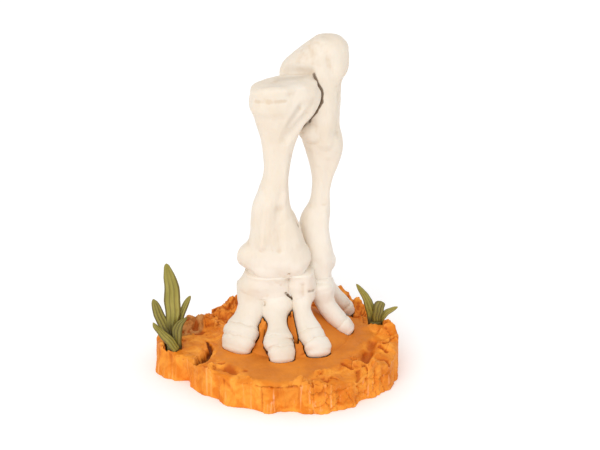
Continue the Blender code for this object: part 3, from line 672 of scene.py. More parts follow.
def build_long_bones():
    radius = long_bone(
        RADIUS_RINGS, RADIUS_RELIEFS, RADIUS_DETAIL,
        step=0.55, segments=270, ends=(2.5, 5.2), bluntness=2.4, flatness=(2.6, 3.6),
    )
    ulna = long_bone(
        ULNA_RINGS, ULNA_RELIEFS, ULNA_DETAIL,
        step=0.6, segments=255, ends=(2.5, 1.9), bluntness=2.3, flatness=(2.4, 2), lean=(0, 25),
    )
    fit_ulna(ulna, radius)
    ulna.paint_shade("seam", CREVICE_SHADE)
    ulna.paint_shade("seam", BEAK_SHADE)
    radius.paint_shade("seam", DISH_SHADE)
    for bone in (radius, ulna):
        bone.paint_shade("hollow", NECK_SHADE)
    return radius, ulna


def build_toe(rings, joints):
    """A toe with a shallow wandering groove past each joint, and the rows where its bones begin and end."""
    grid, stations = loft(rings, TOE_STEP, segments=104, ends=(1, 3.6), bluntness=2.15, flatness=(2.4, 2.2))
    toe = Form(grid)
    rows = np.arange(len(grid))[:, None] * TOE_STEP
    wander = JOINT_WANDER * fractal(toe.points / 5, 2).reshape(grid.shape[:2])
    for joint in joints:
        away = np.abs(rows - stations[joint] * TOE_STEP - JOINT_OFFSET + wander)
        toe.push(-JOINT_DEPTH * fade(away, JOINT_WIDTH))
        # Painted shade in the joint's groove
        toe.marks["hollow"] = np.maximum(toe.marks["hollow"], 0.35 * fade(away, JOINT_SHADE_WIDTH))
    return toe, [0, *(int(stations[joint]) for joint in joints), len(grid)]


def build_foot():
    """Forms of the wrist bones and the toes, and where each toe is cut into its bones."""
    foot, cuts = {}, {}
    for name, (rings, forms) in CARPALS.items():
        foot[name] = Form(loft(rings, step=0.38, segments=140, ends=(1.4, 2.2), bluntness=2.8, level=True)[0])
        foot[name].carve(forms)
    for digit, (rings, joints) in DIGITS.items():
        foot[f"toe_{digit}"], cuts[f"toe_{digit}"] = build_toe(rings, joints)
    return foot, cuts


def painted_light_mask(form):
    """Mark of painted light: paler bone on the shaded outer side of the foot and on the front of the wrist."""
    x, y, z = np.moveaxis(form.grid, -1, 0)
    outer = ease(15, 24, x) * (1 - ease(70, 130, z)) * (1 - ease(12, 18, y - z / 9))
    wrist = ease(38, 50, z) * (1 - ease(66, 78, z)) * ease(-17, -8, x) * (1 - ease(17, 22, x))
    return np.maximum(0.75 * outer, 0.85 * wrist)


def write_toe(form, digit, rows):
    """Writes a toe's bones as pieces that share their end rows."""
    kinds = ("metacarpal", "phalanx", "hoof") if len(rows) == 4 else ("metacarpal", "hoof")
    for kind, first, last in zip(kinds, rows, rows[1:]):
        form.piece(f"{kind}_{digit}", first, last + 1)


def build_bones():
    """Writes every bone's pieces, and returns the forms of the toes."""
    radius, ulna = build_long_bones()
    foot, cuts = build_foot()
    swell(foot | {"radius_foot": radius, "ulna_foot": ulna})
    for form in foot.values():
        form.weather(lump=0.25, grain=0.04, along=(1, 1, 0.8))
        form.push(-0.5 * relief_at(form.points, WRIST_GAP))
        form.paint_shade("seam", WRIST_GAP)
    bones = {"radius": radius, "ulna": ulna} | foot
    for name, form in bones.items():
        form.push(-relief_at(form.points, PITS))
        form.paint_shade("seam", PITS)
        form.grid[..., 2] = np.maximum(form.grid[..., 2], SOLE_LEVEL)
        form.cavities(passes=5, depth=0.22)
        form.marks["painted_light"] = painted_light_mask(form)
        if name in cuts:
            write_toe(form, name[-1], cuts[name])
        else:
            form.piece(name)
    return [foot[name] for name in cuts]


# ---- slab of earth

PAD_LEVEL, ROUGH_LEVEL = 19.0, 17.0
RIM_INSET, RIM_DROP, FOOT_INSET = 0.8, 1.2, 0.35
# Outlines as angles in degrees and distances from their middle: the slab's edge and the smooth mud's
EDGE = [
    (0, 74), (12, 71), (24, 68), (35, 67), (44, 64), (52, 68), (62, 71), (75, 69), (90, 65), (105, 60),
    (118, 59), (131, 56), (146, 56), (155, 58.5), (161, 67), (172, 72), (184, 75), (191, 76.5), (198, 73.5),
    (203, 68.5), (207, 60.5), (214, 63), (224, 63.6), (233, 62), (244, 66.3), (252, 64.8), (259, 65.3),
    (266, 70), (272, 66.6), (278, 67.3), (284, 72), (291, 75.4), (299, 75), (306, 77.4), (314, 73),
    (322, 76.6), (330, 78.5), (340, 77.5), (350, 75.5),
]
MUD_MIDDLE, MUD_LIP = (5, -20), 3.0
MUD_EDGE = [
    (0, 44), (20, 57), (40, 60), (60, 56), (90, 46), (120, 42), (150, 42), (180, 41), (195, 43), (210, 41),
    (225, 38), (240, 43), (255, 45), (270, 46), (285, 41), (300, 37), (315, 38), (330, 39), (345, 40),
]
# Where the plants stand: x, y and the radius of the hole
SOCKETS = {"plant_left": (-63.0, -18.5, 4.6), "plant_right": (60.5, 12.5, 4.2)}
HILL, MOUND = on_ground((-20, 50, 36, 58, 24, 6.0), (-9, 6, 27, 13, 27, 5.0))
LAND_RELIEFS = on_ground(
    (-56, 5, -55, 9, 6, 5), (-48, 9, -47, 13, 6, 4.5), (-40, 20, -34, 30, 9, 2.5), (-46, -6, -45, -2, 6, -2.5),
    (-62, -12, -72, -8, 7, 1.5), (-28, -46, -24, -43, 5, -4), (-18, -49, -18, -49, 4, -2.5),
    (-46, -47, -40, -44, 6, 1.5), (54, -22, 52, -36, 6, -3.5), (66, -26, 64, -34, 5, -3), (42, -52, 48, -46, 5, -3),
    (60, -48, 66, -44, 7, 2.5), (26, -60, 40, -62, 6, 2.5), (70, 4, 54, 36, 17, 4), (30, 58, 42, 50, 12, 5.5),
)
# Crack left of the toes: x, y, half-width and depth
CRACK = [
    (-43, -9, 0.8, 1.5), (-40.2, -18.5, 1.7, 3.5), (-41.6, -25, 2.2, 4.5), (-44.4, -31, 3.6, 6), (-46, -36, 3.2, 5),
]
# Small sharp shapes of the ground
LAND_DETAIL = on_ground(
    (-28.5, -43.5, -25.5, -50, 4.5, -2.6),  # scooped pit
    (-18.7, -49.9, -18.2, -50.3, 2.2, -2.4),
    (-34.5, -38.9, -31.5, -38.9, 1.6, -1.5),
    (-50.5, -46.5, -42, -46.5, 4.5, -1.8),
    (-36, -45, -31, -45.5, 4, -1.5),
    (-71, -30, -57, -31, 2.2, -1.2),
    (-49.5, 0.5, -46, 3.5, 2.4, -2.2),
    (-57.2, 6.8, -56, 7.5, 2.4, -2.2),
    (-50.3, 6, -50, 8, 2.2, -2.0),
    (58.5, -11, 54.8, -23.7, 4.2, -2.4),  # gully on the right
    (54.8, -23.7, 52.2, -36, 5, -3.6),
    (58, -34.3, 64, -33, 2, -1.6),
    (62, -18, 66, -24, 2, -1.6),
    (65.7, -34, 68, -41, 2, -1.6),
    (40.5, -36.5, 43, -37.5, 3.2, 1.6),
    (39.2, -39.8, 44.5, -45.8, 1.8, -2.2),
    (48.1, -48.6, 47.7, -62.6, 2.6, -2.0),
    (52.2, -44, 53, -45, 2.6, -2.4),
    (12.6, -48.6, 12.9, -57.6, 1.2, -0.5),
    (22, -60, 29, -63, 2.4, -1.4),
    (55, 7, 65, 6, 5, 2.6),  # earth banked against the right plant
)
BACK_DIP = on_ground((32, 57, 43, 50, 12, -4.6))
# Where the ground is grey-brown stone
ROCKS = on_ground((-58, 3, -56, 9, 9, 1), (-51, 5, -50, 12, 6, 1))
# Mud that rises between two toes to the middle of their sides
WEBS = on_ground((-9, -8, -10.8, -17, 7.5, 1.8), (8.5, -8, 12.5, -27, 7.5, 1.8))
# Where the mud touches a toe, with a narrower gap and less painted shade beside it
TIGHT_MUD = on_ground((-36, -18, -20, -34, 9, 1.0), (-3, -41.5, 8, -42, 5, 1.0), (22, -2, 42, -5, 7, 1.0))
# Shade where the mud meets the sides of the first two toes
EDGE_SHADE = [
    *chain(
        (-7.2, -20.4, 30.8), (-8.1, -23, 24.1, 1.3, 1.0), (-7.6, -26, 21.7, 1.3, 1.0), (-5.8, -30, 20.3, 1.3, 1.0),
        (-4, -35.6, 19, 1.3, 1.0),
    ),
    *chain((-11.3, -18.8, 33.6), (-10.9, -21.6, 29.6, 1.3, 0.9), (-11.6, -23.4, 26.2, 1.3, 0.9)),
]
# Notches of the slab's side; their heights are depths
WALL_DETAIL = [
    *chain((-11.5, -64.8, 16.4), (-2.5, -66, 16.2, 1.7, 1.4), (11.5, -67.4, 17, 1.7, 1.4)),  # under the mud's lip
    *reliefs(
        ((36, -72, 17), (36, -75, 9), 2.6, 2.2), ((37, -71, 16), (47, -68, 16), 2.2, 1.6),
        ((-32, -57, 15), (-29.5, -59, 12.5), 2.2, 2.0), ((0, -69, 4), (-1, -69, 8), 2.6, 1.2),
        ((20, -72, 3), (22, -72, 9), 3.0, 1.4), ((26, -70, 12), (30, -70, 12), 2.6, 1.6),
    ),
]
MIDDLE = np.array([8.0, -8.0])  # where the slab's spokes meet, under the foot
SPOKES, PAD_RINGS, RIM_RINGS, WALL_RINGS = 590, 146, 44, 30
PAD_SHARE = 0.74  # of the way to the rim, where the inner piece of the top ends
CONE_X, CONE_Y, CONE_TOP, CONE_FOOT, CONE_RISE = 8, 2, 4, 42, 16  # mud heaped under the foot
FRONT_LEVEL = 18.6  # below which the broken ground in front is evened out
TOE_GAP, TIGHT_GAP, BANK = 0.7, 0.1, 0.35  # between toe and mud, and the height of the mud's bank there
SOCKET_FLOOR = 12.0


def directions(degrees):
    """Level unit vectors at these angles."""
    turn = np.radians(degrees)
    return np.stack([np.cos(turn), np.sin(turn), np.zeros(len(turn))], axis=1)


def distance_at(angles, outline):
    """Distance of an outline from its middle, in the directions of angles in degrees."""
    angles = np.mod(angles, 360)
    stops = np.array(outline + [(360, outline[0][1])], float)
    i = np.clip(np.searchsorted(stops[:, 0], angles, side="left") - 1, 0, len(stops) - 2)
    t = (angles - stops[i, 0]) / (stops[i + 1, 0] - stops[i, 0])
    return stops[i, 1] + (stops[i + 1, 1] - stops[i, 1]) * t * t * (3 - 2 * t)


def perlin(points):
    return np.array([noise.noise(p) for p in points])


def crags(flat):
    """Large lumps and steps of the broken ground."""
    place = flat + [0, 0, 3.7]
    ridges = 1 - np.abs(perlin(place / 11)) * 2.2
    lumps = perlin(place / 7 + [5, 9, 1])
    steps = perlin(place / 19 + [2, 4, 8])
    return 3 * ridges + 2.4 * lumps + 1.8 * np.sign(steps) * np.minimum(np.abs(steps) * 4, 1) - 1.4


def mud_share(flat):
    """1 on the smooth mud round the toes and 0 on the broken ground outside it."""
    across, along = flat[:, 0] - MUD_MIDDLE[0], flat[:, 1] - MUD_MIDDLE[1]
    wander = 1.8 * fractal(flat / 7.0 + 3.3, 4)
    inside = distance_at(np.degrees(np.arctan2(along, across)), MUD_EDGE) - np.hypot(across, along) + wander
    return ease(-0.5, 0.5, inside / MUD_LIP)


def wall_flute(angles):
    around = directions(angles)
    return 0.7 * perlin(around * 9) + 0.6 * perlin(around * 21 + [3, 1, 7])


def spoke_lengths(angles, lengths, spokes):
    """Lengths of the spokes from MIDDLE to an outline that is given from the origin."""
    seen = directions(angles)[:, :2] * lengths[:, None] - MIDDLE
    towards = np.degrees(np.arctan2(seen[:, 1], seen[:, 0]))
    order = np.argsort(towards)
    return np.interp(spokes, towards[order], np.hypot(*seen.T)[order], period=360)


def chips(flat, size, seed):
    """Heights of flat tilted chips, and 0 in the creases between them to 1 inside them."""
    cell = np.floor(flat[:, :2] / size).astype(int)
    first, second = np.full(len(flat), 9e9), np.full(len(flat), 9e9)
    height = np.zeros(len(flat))
    for step in np.ndindex(3, 3):
        k = (cell + step - 1 + seed * 37) & 255
        pick = SHUFFLED[SHUFFLED[k[:, 0]] + k[:, 1]]
        jitter, tilt = SLOPES[pick], SLOPES[(pick + 91) & 255]
        spot = (cell + step - 1 + 0.5 + 0.42 * jitter[:, :2]) * size
        away = flat[:, :2] - spot
        distance = np.hypot(*away.T)
        value = 0.45 * (away * tilt[:, :2]).sum(1) + 0.16 * size * tilt[:, 2]
        closer = distance < first
        second = np.where(closer, first, np.minimum(second, distance))
        height = np.where(closer, value, height)
        first = np.minimum(first, distance)
    return height, ease(0, 0.24, (second - first) / size)


def broken_ground(flat):
    """Heights of the broken ground: tilted chips on crags, calmer and evened out in front."""
    warp = np.stack([fractal(flat / 5 + 40 * k, 3) for k in range(3)], axis=1) * [2.4, 2.4, 0]
    big, big_inside = chips(flat + warp * 1.5, 7.5, 1)
    small, small_inside = chips(flat + warp, 3.1, 2)
    calm = 1 - ease(8, 26, flat[:, 1])
    rubble = 1.1 * big + 0.7 * small - 0.1 * (1 - small_inside) - 0.5 * (1 - big_inside)
    rubble = rubble * (1 - 0.4 * calm) + 0.15 * fractal(flat / 1.5 + 5.0, 3)
    height = ROUGH_LEVEL + crags(flat) + relief_at(flat, LAND_RELIEFS) + rubble
    return height - 0.8 * calm * np.minimum(height - FRONT_LEVEL, 0)


def mud_cone(flat):
    """Heights of the mud heaped under the middle of the foot, which end well below the pad outside it."""
    inside = (CONE_FOOT - np.hypot(flat[:, 0] - CONE_X, flat[:, 1] - CONE_Y)) / (CONE_FOOT - CONE_TOP)
    cone = CONE_RISE * ease(0, 1, inside) - 5 * (1 - ease(0, 0.2, inside))
    return PAD_LEVEL + cone + 0.3 * fractal(flat / 6, 3)


def cracked(flat, height):
    """The ground with the crack cut into it, and how deep in the crack each point is, from 0 to 1."""
    deep = np.zeros(len(flat))
    for (x0, y0, w0, d0), (x1, y1, w1, d1) in zip(CRACK, CRACK[1:]):
        start, run = np.array([x0, y0, 0.0]), np.array([x1 - x0, y1 - y0, 0.0])
        share = np.clip((flat - start) @ run / (run @ run), 0, 1)
        near = np.linalg.norm(flat - start - share[:, None] * run, axis=1) + 0.5 * fractal(flat / 2.2, 2)
        cut = ease(0.0, 0.9, 1.35 - near / (w0 + (w1 - w0) * share))
        height = height - (d0 + (d1 - d0) * share) * cut * (deep < cut)
        deep = np.maximum(deep, cut)
    return height, deep


def land(flat):
    """Heights of the ground and its marks, before the toes and plants press into it."""
    mud = mud_share(flat)
    rough = 1 - mud
    smooth = PAD_LEVEL + 0.4 * fractal(flat / 9, 3) + 0.06 * fractal(flat / 1.6, 2)
    height = broken_ground(flat) * rough + smooth * mud + relief_at(flat, (HILL, MOUND))
    height = height + relief_at(flat, LAND_DETAIL + BACK_DIP) * (0.4 + 0.6 * rough)
    height = webbed(flat, np.maximum(height, mud_cone(flat)))
    height, deep = cracked(flat, height)
    rock = np.max([fade(from_segment(flat, r.start, r.end), r.radius) for r in ROCKS], axis=0)
    rock = ease(0.1, 0.4, rock + 0.3 * fractal(flat / 4, 3))
    # Painted shade in the crack, in the pits and gullies, and over the broken ground towards the back
    ground_shade = np.clip(-relief_at(flat, LAND_DETAIL) / 3, 0, 0.8)
    ground_shade = ground_shade + 0.55 * rough * ease(6, 26, flat[:, 1]) * ease(-0.3, 0.25, fractal(flat / 4.5 + 2, 3))
    return height, {"mud": mud, "rock": rock, "deep": deep * 0.75, "ground_shade": ground_shade}


def webbed(flat, height):
    """Raises the mud between neighbouring toes to about the middle of their sides."""
    share = np.clip(relief_at(flat, WEBS), 0, 1)
    low = share > 0
    level = np.zeros(low.sum())
    for rings, _ in DIGITS.values():
        axis, _ = curve([ring[:4] for ring in rings], 0.5)
        away = np.linalg.norm(flat[low][:, None, :2] - axis[None, :, :2], axis=2)
        nearest = away.argmin(1)
        beside = np.maximum(away.min(1) - axis[nearest, 3], 0)
        level = np.maximum(level, axis[nearest, 2] - 0.4 - 0.7 * beside)
    raised = height.copy()
    raised[low] = np.maximum(height[low], height[low] + share[low] * (np.minimum(level, 39) - height[low]))
    return raised


def press(flat, height, marks, toes):
    """Presses the toes into the ground with a thin gap round them, and opens the plants' sockets; the deep mark
    paints shade in the gaps, beside the toes and in the sockets.
    """
    trees = [(toe.tree(), toe.box()) for toe in toes]
    snug = np.clip(relief_at(flat, TIGHT_MUD) * 1.6, 0, 1)
    for tree, (low, high) in trees:
        near = ((flat[:, :2] > low[:2] - 3) & (flat[:, :2] < high[:2] + 3)).all(1)
        for i in np.nonzero(near)[0]:
            here = Vector((flat[i, 0], flat[i, 1], height[i]))
            spot, way, _, distance = tree.find_nearest(here, 3.0)
            if spot is None:
                continue
            reach = distance if (here - spot).dot(way) > 0 else -distance
            gap = TOE_GAP - (TOE_GAP - TIGHT_GAP) * snug[i]
            if abs(reach - gap) < 0.2:
                flat[i, 0] += way.x * (gap - reach)
                flat[i, 1] += way.y * (gap - reach)
            if reach < gap + 0.05:
                height[i] = min(height[i], SOLE_LEVEL - 0.6)
                marks["deep"][i] = 1.0
            else:
                height[i] += BANK * max(0, 1 - (reach - gap) / 1.6)
                marks["deep"][i] = max(marks["deep"][i], (1 - snug[i]) * 0.5 * max(0, 1 - (reach - gap) / 0.5))
    shade = relief_at(np.column_stack([flat[:, :2], height]), EDGE_SHADE)
    marks["deep"] = np.clip(np.maximum(marks["deep"], shade), 0, 1)
    for x, y, radius in SOCKETS.values():
        away = np.hypot(flat[:, 0] - x, flat[:, 1] - y)
        hole = 1 - ease(radius - 0.4, radius + 0.2, away)
        height = height * (1 - hole) + SOCKET_FLOOR * hole
        marks["deep"] = np.maximum(marks["deep"], 1 - ease(radius - 0.2, radius + 1.0, away))
    return flat, height


def top_grid(spokes, rim, shares, toes):
    """Points and marks of the slab's top on the spokes, at shares of the way from MIDDLE to the rim."""
    flat = (np.array([*MIDDLE, 0]) + directions(spokes) * (rim * shares[:, None])[..., None]).reshape(-1, 3)
    height, marks = land(flat)
    to_rim = ((1 - shares)[:, None] * rim).reshape(-1)
    height = height - RIM_DROP * (1 - ease(0, 2.2, to_rim)) ** 1.5
    shape = (len(shares), len(spokes))
    relief = blurred(height.reshape(shape), 7) - height.reshape(shape)
    # Painted shade in the ground's hollows, with the painted ground shade added
    marks["hollow"] = np.clip(relief.reshape(-1) / 0.6, 0, 1) + marks.pop("ground_shade")
    marks["crest"] = np.clip(-relief.reshape(-1) / 0.7, 0, 1)
    flat, height = press(flat, height, marks, toes)
    marks["wall"] = 1 - ease(0, 1.2, to_rim)
    top = np.concatenate([flat[:, :2], height[:, None]], axis=1).reshape(*shape, 3)
    return top, {name: values.reshape(shape) for name, values in marks.items()}


def wall_grid(rim_points, foot_points, ways, spokes):
    """Rows of the slab's side from the rim down to the foot: fluted, and crumbly in front on the right."""
    crumbly = ease(272, 290, spokes) * (1 - ease(330, 345, spokes))
    rows, marks = [], []
    for share in np.linspace(0, 1, WALL_RINGS + 1)[1:]:
        row = rim_points * (1 - share) + foot_points * share
        belly = min(1, 4 * share) * (0.55 + 0.45 * min(1, 6 * (1 - share)))
        ribs = ridged(row / [3.8, 3.8, 40] + 11, 3)
        thin = ridged(row / [1.5, 1.5, 24] + 3, 2)
        lumps = np.abs(fractal(row / [4.4, 4.4, 3.2] + 31, 4))
        warped = row + np.stack([fractal(row / 4 + 60 * k, 2) for k in (1, 2, 3)], axis=1) * 2.5
        block, inside = chips(warped[:, [0, 2, 1]] + row[:, [1, 1, 1]] * [0.7, 0.2, 0], 9, 5)
        notch = relief_at(row, WALL_DETAIL)
        cut = (-1.7 * (0.92 - ribs) - 0.8 * (0.9 - thin)) * (1 - 0.75 * crumbly)
        cut = cut - 1.1 * lumps * (0.3 + 1.3 * crumbly)
        cut = cut - crumbly * (0.9 * np.abs(block) + 0.6 * (1 - inside))
        rows.append(row + ways * (np.minimum(cut, 0.0) * belly - notch)[:, None])
        # Painted shade in the flutes' grooves, the crumbly hollows and the notches
        fluted_mark = np.clip((0.6 - ribs) * 3, 0, 0.8)
        crumbly_mark = 1.1 * np.clip(lumps - 0.2, 0, 1) + 0.3 * (1 - inside)
        marks.append(fluted_mark * (1 - crumbly) + crumbly_mark * crumbly + notch * 0.5)
    return np.array(rows), np.array(marks)


def upward_normals(grid):
    found = grid_normals(grid)
    return found if found[..., 2].mean() >= 0 else -found


def slab_piece(name, grid, normals, marks, faces):
    marks = {mark: values.reshape(-1) for mark, values in marks.items()}
    new_piece(name, grid.reshape(-1, 3), faces, EARTH, ["earth_slab"], marks, normals.reshape(-1, 3))


def build_pad(fine, rim_line, toes):
    """Writes the inner part of the top, and returns its last row."""
    spokes = np.linspace(0, 360, SPOKES, endpoint=False)
    shares = np.linspace(0, PAD_SHARE, PAD_RINGS + 1)[1:]
    shares = np.concatenate([shares, shares[-1] + (shares[1] - shares[0]) * np.array([1, 2])])
    grid, marks = top_grid(spokes, spoke_lengths(fine, rim_line, spokes), shares, toes)
    normals = upward_normals(grid)[:PAD_RINGS]
    grid = grid[:PAD_RINGS]
    marks = {name: values[:PAD_RINGS] for name, values in marks.items()}
    faces = [face[::-1] for face in tube_faces(PAD_RINGS, SPOKES)[:-1]]
    slab_piece("earth_slab_pad", grid, normals, marks, faces)
    return grid[-1]


def build_rim(fine, rim_line, foot_line, pad_edge, toes):
    """Writes the outer part of the top, the side and the underside, joined to the pad's last row."""
    spokes = np.linspace(0, 360, 2 * SPOKES, endpoint=False)
    ways = directions(spokes)
    shares = np.linspace(PAD_SHARE, 1, RIM_RINGS)
    shares = np.concatenate([[2 * shares[0] - shares[1]], shares])
    band, marks = top_grid(spokes, spoke_lengths(fine, rim_line, spokes), shares, toes)
    band[1, ::2] = pad_edge
    band[1, 1::2] = (pad_edge + np.roll(pad_edge, -1, axis=0)) / 2
    foot = np.array([*MIDDLE, 0]) + ways * spoke_lengths(fine, foot_line, spokes)[:, None]
    wall, wall_hollow = wall_grid(band[-1], foot, ways, spokes)
    grid = np.concatenate([band, wall])
    normals = upward_normals(grid)
    marks = {name: np.concatenate([values, np.zeros(wall.shape[:2])])[1:] for name, values in marks.items()}
    marks["wall"][-WALL_RINGS:] = 1
    marks["hollow"][-WALL_RINGS:] = wall_hollow
    faces = [face[::-1] for face in tube_faces(len(grid) - 1, 2 * SPOKES)]
    faces = [face for face in faces if len(face) == 4 or face[0] > 2 * SPOKES]
    slab_piece("earth_slab_rim", grid[1:], normals[1:], marks, faces)


def build_slab(toes):
    fine = np.linspace(0, 360, 1440, endpoint=False)
    flute = wall_flute(fine)
    rim_line = sum(distance_at(fine + a, EDGE) for a in (-8, -4, 0, 4, 8)) / 5 - RIM_INSET + flute
    foot_line = distance_at(fine, EDGE) + flute - FOOT_INSET
    pad_edge = build_pad(fine, rim_line, toes)
    build_rim(fine, rim_line, foot_line, pad_edge, toes)


# ---- plants

PLANTS = {
    "plant_left": [
        Leaf([(0.5, 1, 1), (-0.6, 2.4, 13), (0.1, 3.2, 23), (0.1, 3.8, 31), (-0.5, 4.4, 38), (-1.6, 5, 45),
              (-3.2, 5.6, 53.3)], (2.6, 3.4, 4.7, 4.95, 4.5, 3.6, 1.2), 1.5, 0, 0.46),
        Leaf([(-0.4, 1, 1), (-2.8, 1.6, 8), (-6.2, 2.2, 16), (-8.6, 2.6, 22.5), (-10.4, 3, 27.5), (-11.5, 3.2, 31)],
             (2.4, 2.9, 3.3, 3.1, 2.3, 0.9), 1.3, 12, 0.62, 0.25),
        Leaf([(0.8, 2.5, 1), (2.6, 4, 10), (4.6, 5, 17.5), (6.5, 5.5, 23), (8.6, 6, 27.5), (10.9, 6.4, 31.6)],
             (1.8, 2.2, 2.3, 2.2, 1.9, 0.8), 1.2, -30, 0.5, 0.2),
        Leaf([(3.4, -1.5, 0), (2.9, -2, 7), (3.2, -1.8, 13), (5, -1.2, 16.6), (7.2, -0.6, 18.8), (9, 0, 20.2)],
             (2.2, 3, 3.5, 2.4, 1.3, 0.6), 1.2, -25, 0.3, 0.45),
        Leaf([(2, -3.6, 0), (-1, -4.8, 6), (-4.7, -5.4, 10.6), (-8, -5.2, 14.2), (-10.2, -4.8, 16.8),
              (-11.4, -4.4, 19)], (2.6, 2.9, 2.7, 2.0, 1.5, 0.7), 1.5, 30, 0.06),
    ],
    "plant_right": [
        Leaf([(-1.8, 0, 0), (-2.6, 0.8, 6.5), (-4, 1.4, 12.6), (-6.3, 2, 17.6), (-9.6, 2.6, 22.4), (-12.1, 3, 25.8)],
             (2.6, 3.0, 2.9, 2.3, 1.6, 0.6), 1.4, 10),
        Leaf([(0.2, -1, 0), (0.7, -1, 5), (1.8, -0.4, 10), (3.4, 0.8, 15.2)],
             (2.4, 2.9, 3.6, 3.4), 1.3, 14, 0.3, 0.4),
        Leaf([(2, 1, -0.5), (4.4, 1.5, 3.6), (7.1, 2, 6.8), (10.5, 2.5, 8.6), (14, 3, 10.2)],
             (1.6, 1.9, 1.9, 1.5, 0.6), 1.1, -10),
    ],
}
RIBS = 3.5  # pairs of rib and groove across a blade
LEAF_STEP, BLADE_POINTS, TIP_LENGTH = 0.5, 51, 2.2


def blade_section():
    """Outline of a blade across its width: a channelled and ribbed face, and a rounded back; also its grooves."""
    across = np.linspace(-1, 1, BLADE_POINTS)
    behind = across[::-1][1:-1]
    wave, back_wave = np.cos(across * math.pi * RIBS), np.cos(behind * math.pi * RIBS)
    face = (0.3 + 0.75 * np.abs(across) ** 0.8) * (1 - np.abs(across) ** 5) + 0.2 * wave * (1 - across**4)
    front = np.stack([across, face], axis=1)
    back = np.stack([behind, -1.15 * (1 - behind**2) ** 0.6 + 0.14 * back_wave], axis=1)
    grooves = np.clip(-wave * 1.2 + 0.1, 0, 1) * (1 - across**6) + 0.6 * across**10
    back_grooves = np.clip(-back_wave, 0, 1) * 0.6 + 0.6 * behind**10
    return np.concatenate([front, back]), np.concatenate([grooves, back_grooves])


def leaf_form(leaf, place, section, grooves):
    """A blade: its points stand across its path, narrow and round off at its tip."""
    rows, _ = curve([(*point, width) for point, width in zip(leaf.points, leaf.widths)], LEAF_STEP)
    share = np.linspace(0, 1, len(rows))
    from_tip = np.clip(np.arange(len(rows))[::-1] * LEAF_STEP / TIP_LENGTH, 0, 1)
    tip = np.sqrt(from_tip * (2 - from_tip)) * 0.97 + 0.03
    path = unit(np.gradient(rows[:, :3], axis=0))
    turn = math.radians(leaf.facing)
    sideways = np.array([math.cos(turn), math.sin(turn), 0])
    across = unit(sideways - path * (path @ sideways)[:, None])
    front = np.cross(path, across)
    width = rows[:, 3] * tip
    thick = leaf.thick * np.minimum(1, 0.45 + rows[:, 3] / 5) * tip
    wave = 0.12 * noise3(np.stack([share * 5, np.full(len(rows), leaf.facing + 0.5), 0 * share], axis=1))
    sidewards = width[:, None] * (section[:, 0] + wave[:, None])
    forwards = thick[:, None] * section[:, 1]
    grid = rows[:, None, :3] + across[:, None] * sidewards[..., None] + front[:, None] * forwards[..., None]
    form = Form(grid + place, ("hollow", "deep"))
    form.push(0.12 * fractal(form.points * [1, 1, 0.4] / 2.2, 2))
    # Dark wash in the grooves plus the leaf's painted shade; painted shade at the leaf's foot
    form.marks["hollow"] = np.clip(grooves * (1 - 0.5 * ease(0.7, 1, share))[:, None] + leaf.shade, 0, 1)
    form.marks["deep"] = np.repeat(1 - ease(leaf.dark * 0.2, leaf.dark, share)[:, None], len(section), axis=1)
    return form


def build_plant(name, ground):
    """Writes a plant's leaves, and the root that fills its socket, as one piece."""
    x, y, radius = SOCKETS[name]
    section, grooves = blade_section()
    forms = [leaf_form(leaf, [x, y, ground - 1], section, grooves) for leaf in PLANTS[name]]
    rings = [(x, y, 10, radius * 0.8, radius * 0.8), (x, y, ground + 0.4, radius * 0.86, radius * 0.8)]
    root = loft(rings, step=0.5, segments=60, ends=(0.4, 1.0), bluntness=2, level=True)[0]
    root = Form(root, ("hollow", "deep"))
    # The root is darkened as painted shade in the socket
    root.marks["deep"] += 0.7
    forms.append(root)
    points = np.concatenate([form.points for form in forms])
    normals = np.concatenate([form.normals().reshape(-1, 3) for form in forms])
    marks = {name: np.concatenate([form.marks[name].reshape(-1) for form in forms]) for name in root.marks}
    faces, start = [], 0
    for form in forms:
        faces += [[start + k for k in face] for face in form.faces(len(form.grid))]
        start += len(form.points)
    new_piece(name + "_leaves", points, faces, LEAF, [name], marks, normals)


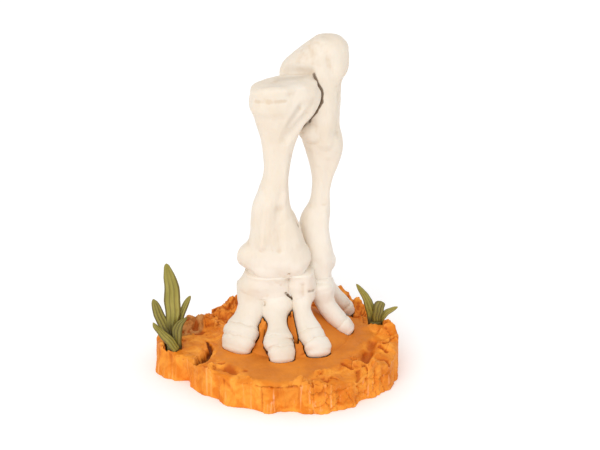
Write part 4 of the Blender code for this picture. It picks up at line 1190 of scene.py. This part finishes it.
def ground_at(x, y):
    """Level of the ground where a plant grows."""
    spot = np.array([[x, y, 0.0]])
    mud = float(mud_share(spot)[0])
    rough = ROUGH_LEVEL + crags(spot)[0] + relief_at(spot, LAND_RELIEFS)[0]
    return rough * (1 - mud) + PAD_LEVEL * mud + relief_at(spot, (HILL, MOUND))[0]


# ---- floor, light and camera

FLOOR = 6.0  # from its middle to its edges, in metres


def build_studio():
    floor_mesh = bpy.data.meshes.new("floor")
    corners = [(-FLOOR, -FLOOR, 0), (FLOOR, -FLOOR, 0), (FLOOR, FLOOR, 0), (-FLOOR, FLOOR, 0)]
    floor_mesh.from_pydata(corners, [], [(0, 1, 2, 3)])
    n = Nodes("floor", 0.9)
    n.shader.inputs["Specular IOR Level"].default_value = 0.0
    n.shader.inputs["Emission Color"].default_value = (1, 1, 1, 1)
    n.shader.inputs["Emission Strength"].default_value = 0.1
    floor_mesh.materials.append(n.finish((0.97, 0.97, 0.97, 1)))
    floor = bpy.data.objects.new("floor", floor_mesh)
    floor.location.z = -0.0002
    bpy.context.scene.collection.objects.link(floor)

    world = bpy.data.worlds.new("studio")
    world.use_nodes = True
    world.node_tree.nodes["Background"].inputs["Color"].default_value = (1, 1, 1, 1)
    world.node_tree.nodes["Background"].inputs["Strength"].default_value = 0.82
    bpy.context.scene.world = world
    sun = bpy.data.lights.new("key", "SUN")
    sun.energy, sun.angle = 1.15, math.radians(50)
    key = bpy.data.objects.new("key", sun)
    key.rotation_euler = Vector((0.24, 0.78, -0.6)).to_track_quat("-Z", "Y").to_euler()
    bpy.context.scene.collection.objects.link(key)
    bpy.context.scene.view_settings.view_transform = "Standard"


def build_camera():
    elevation, away, aim = math.radians(23), 1.150, Vector((0.0138, 0, 0.091))
    camera = bpy.data.cameras.new("camera")
    camera.sensor_width, camera.lens = 36, 115.02
    seen = bpy.data.objects.new("camera", camera)
    seen.location = aim + Vector((0, -math.cos(elevation), math.sin(elevation))) * away
    seen.rotation_euler = Euler((math.radians(90) - elevation, 0, 0))
    bpy.context.scene.collection.objects.link(seen)
    bpy.context.scene.camera = seen


build_slab(build_bones())
for plant, (x, y, _) in SOCKETS.items():
    build_plant(plant, ground_at(x, y))
build_studio()
build_camera()
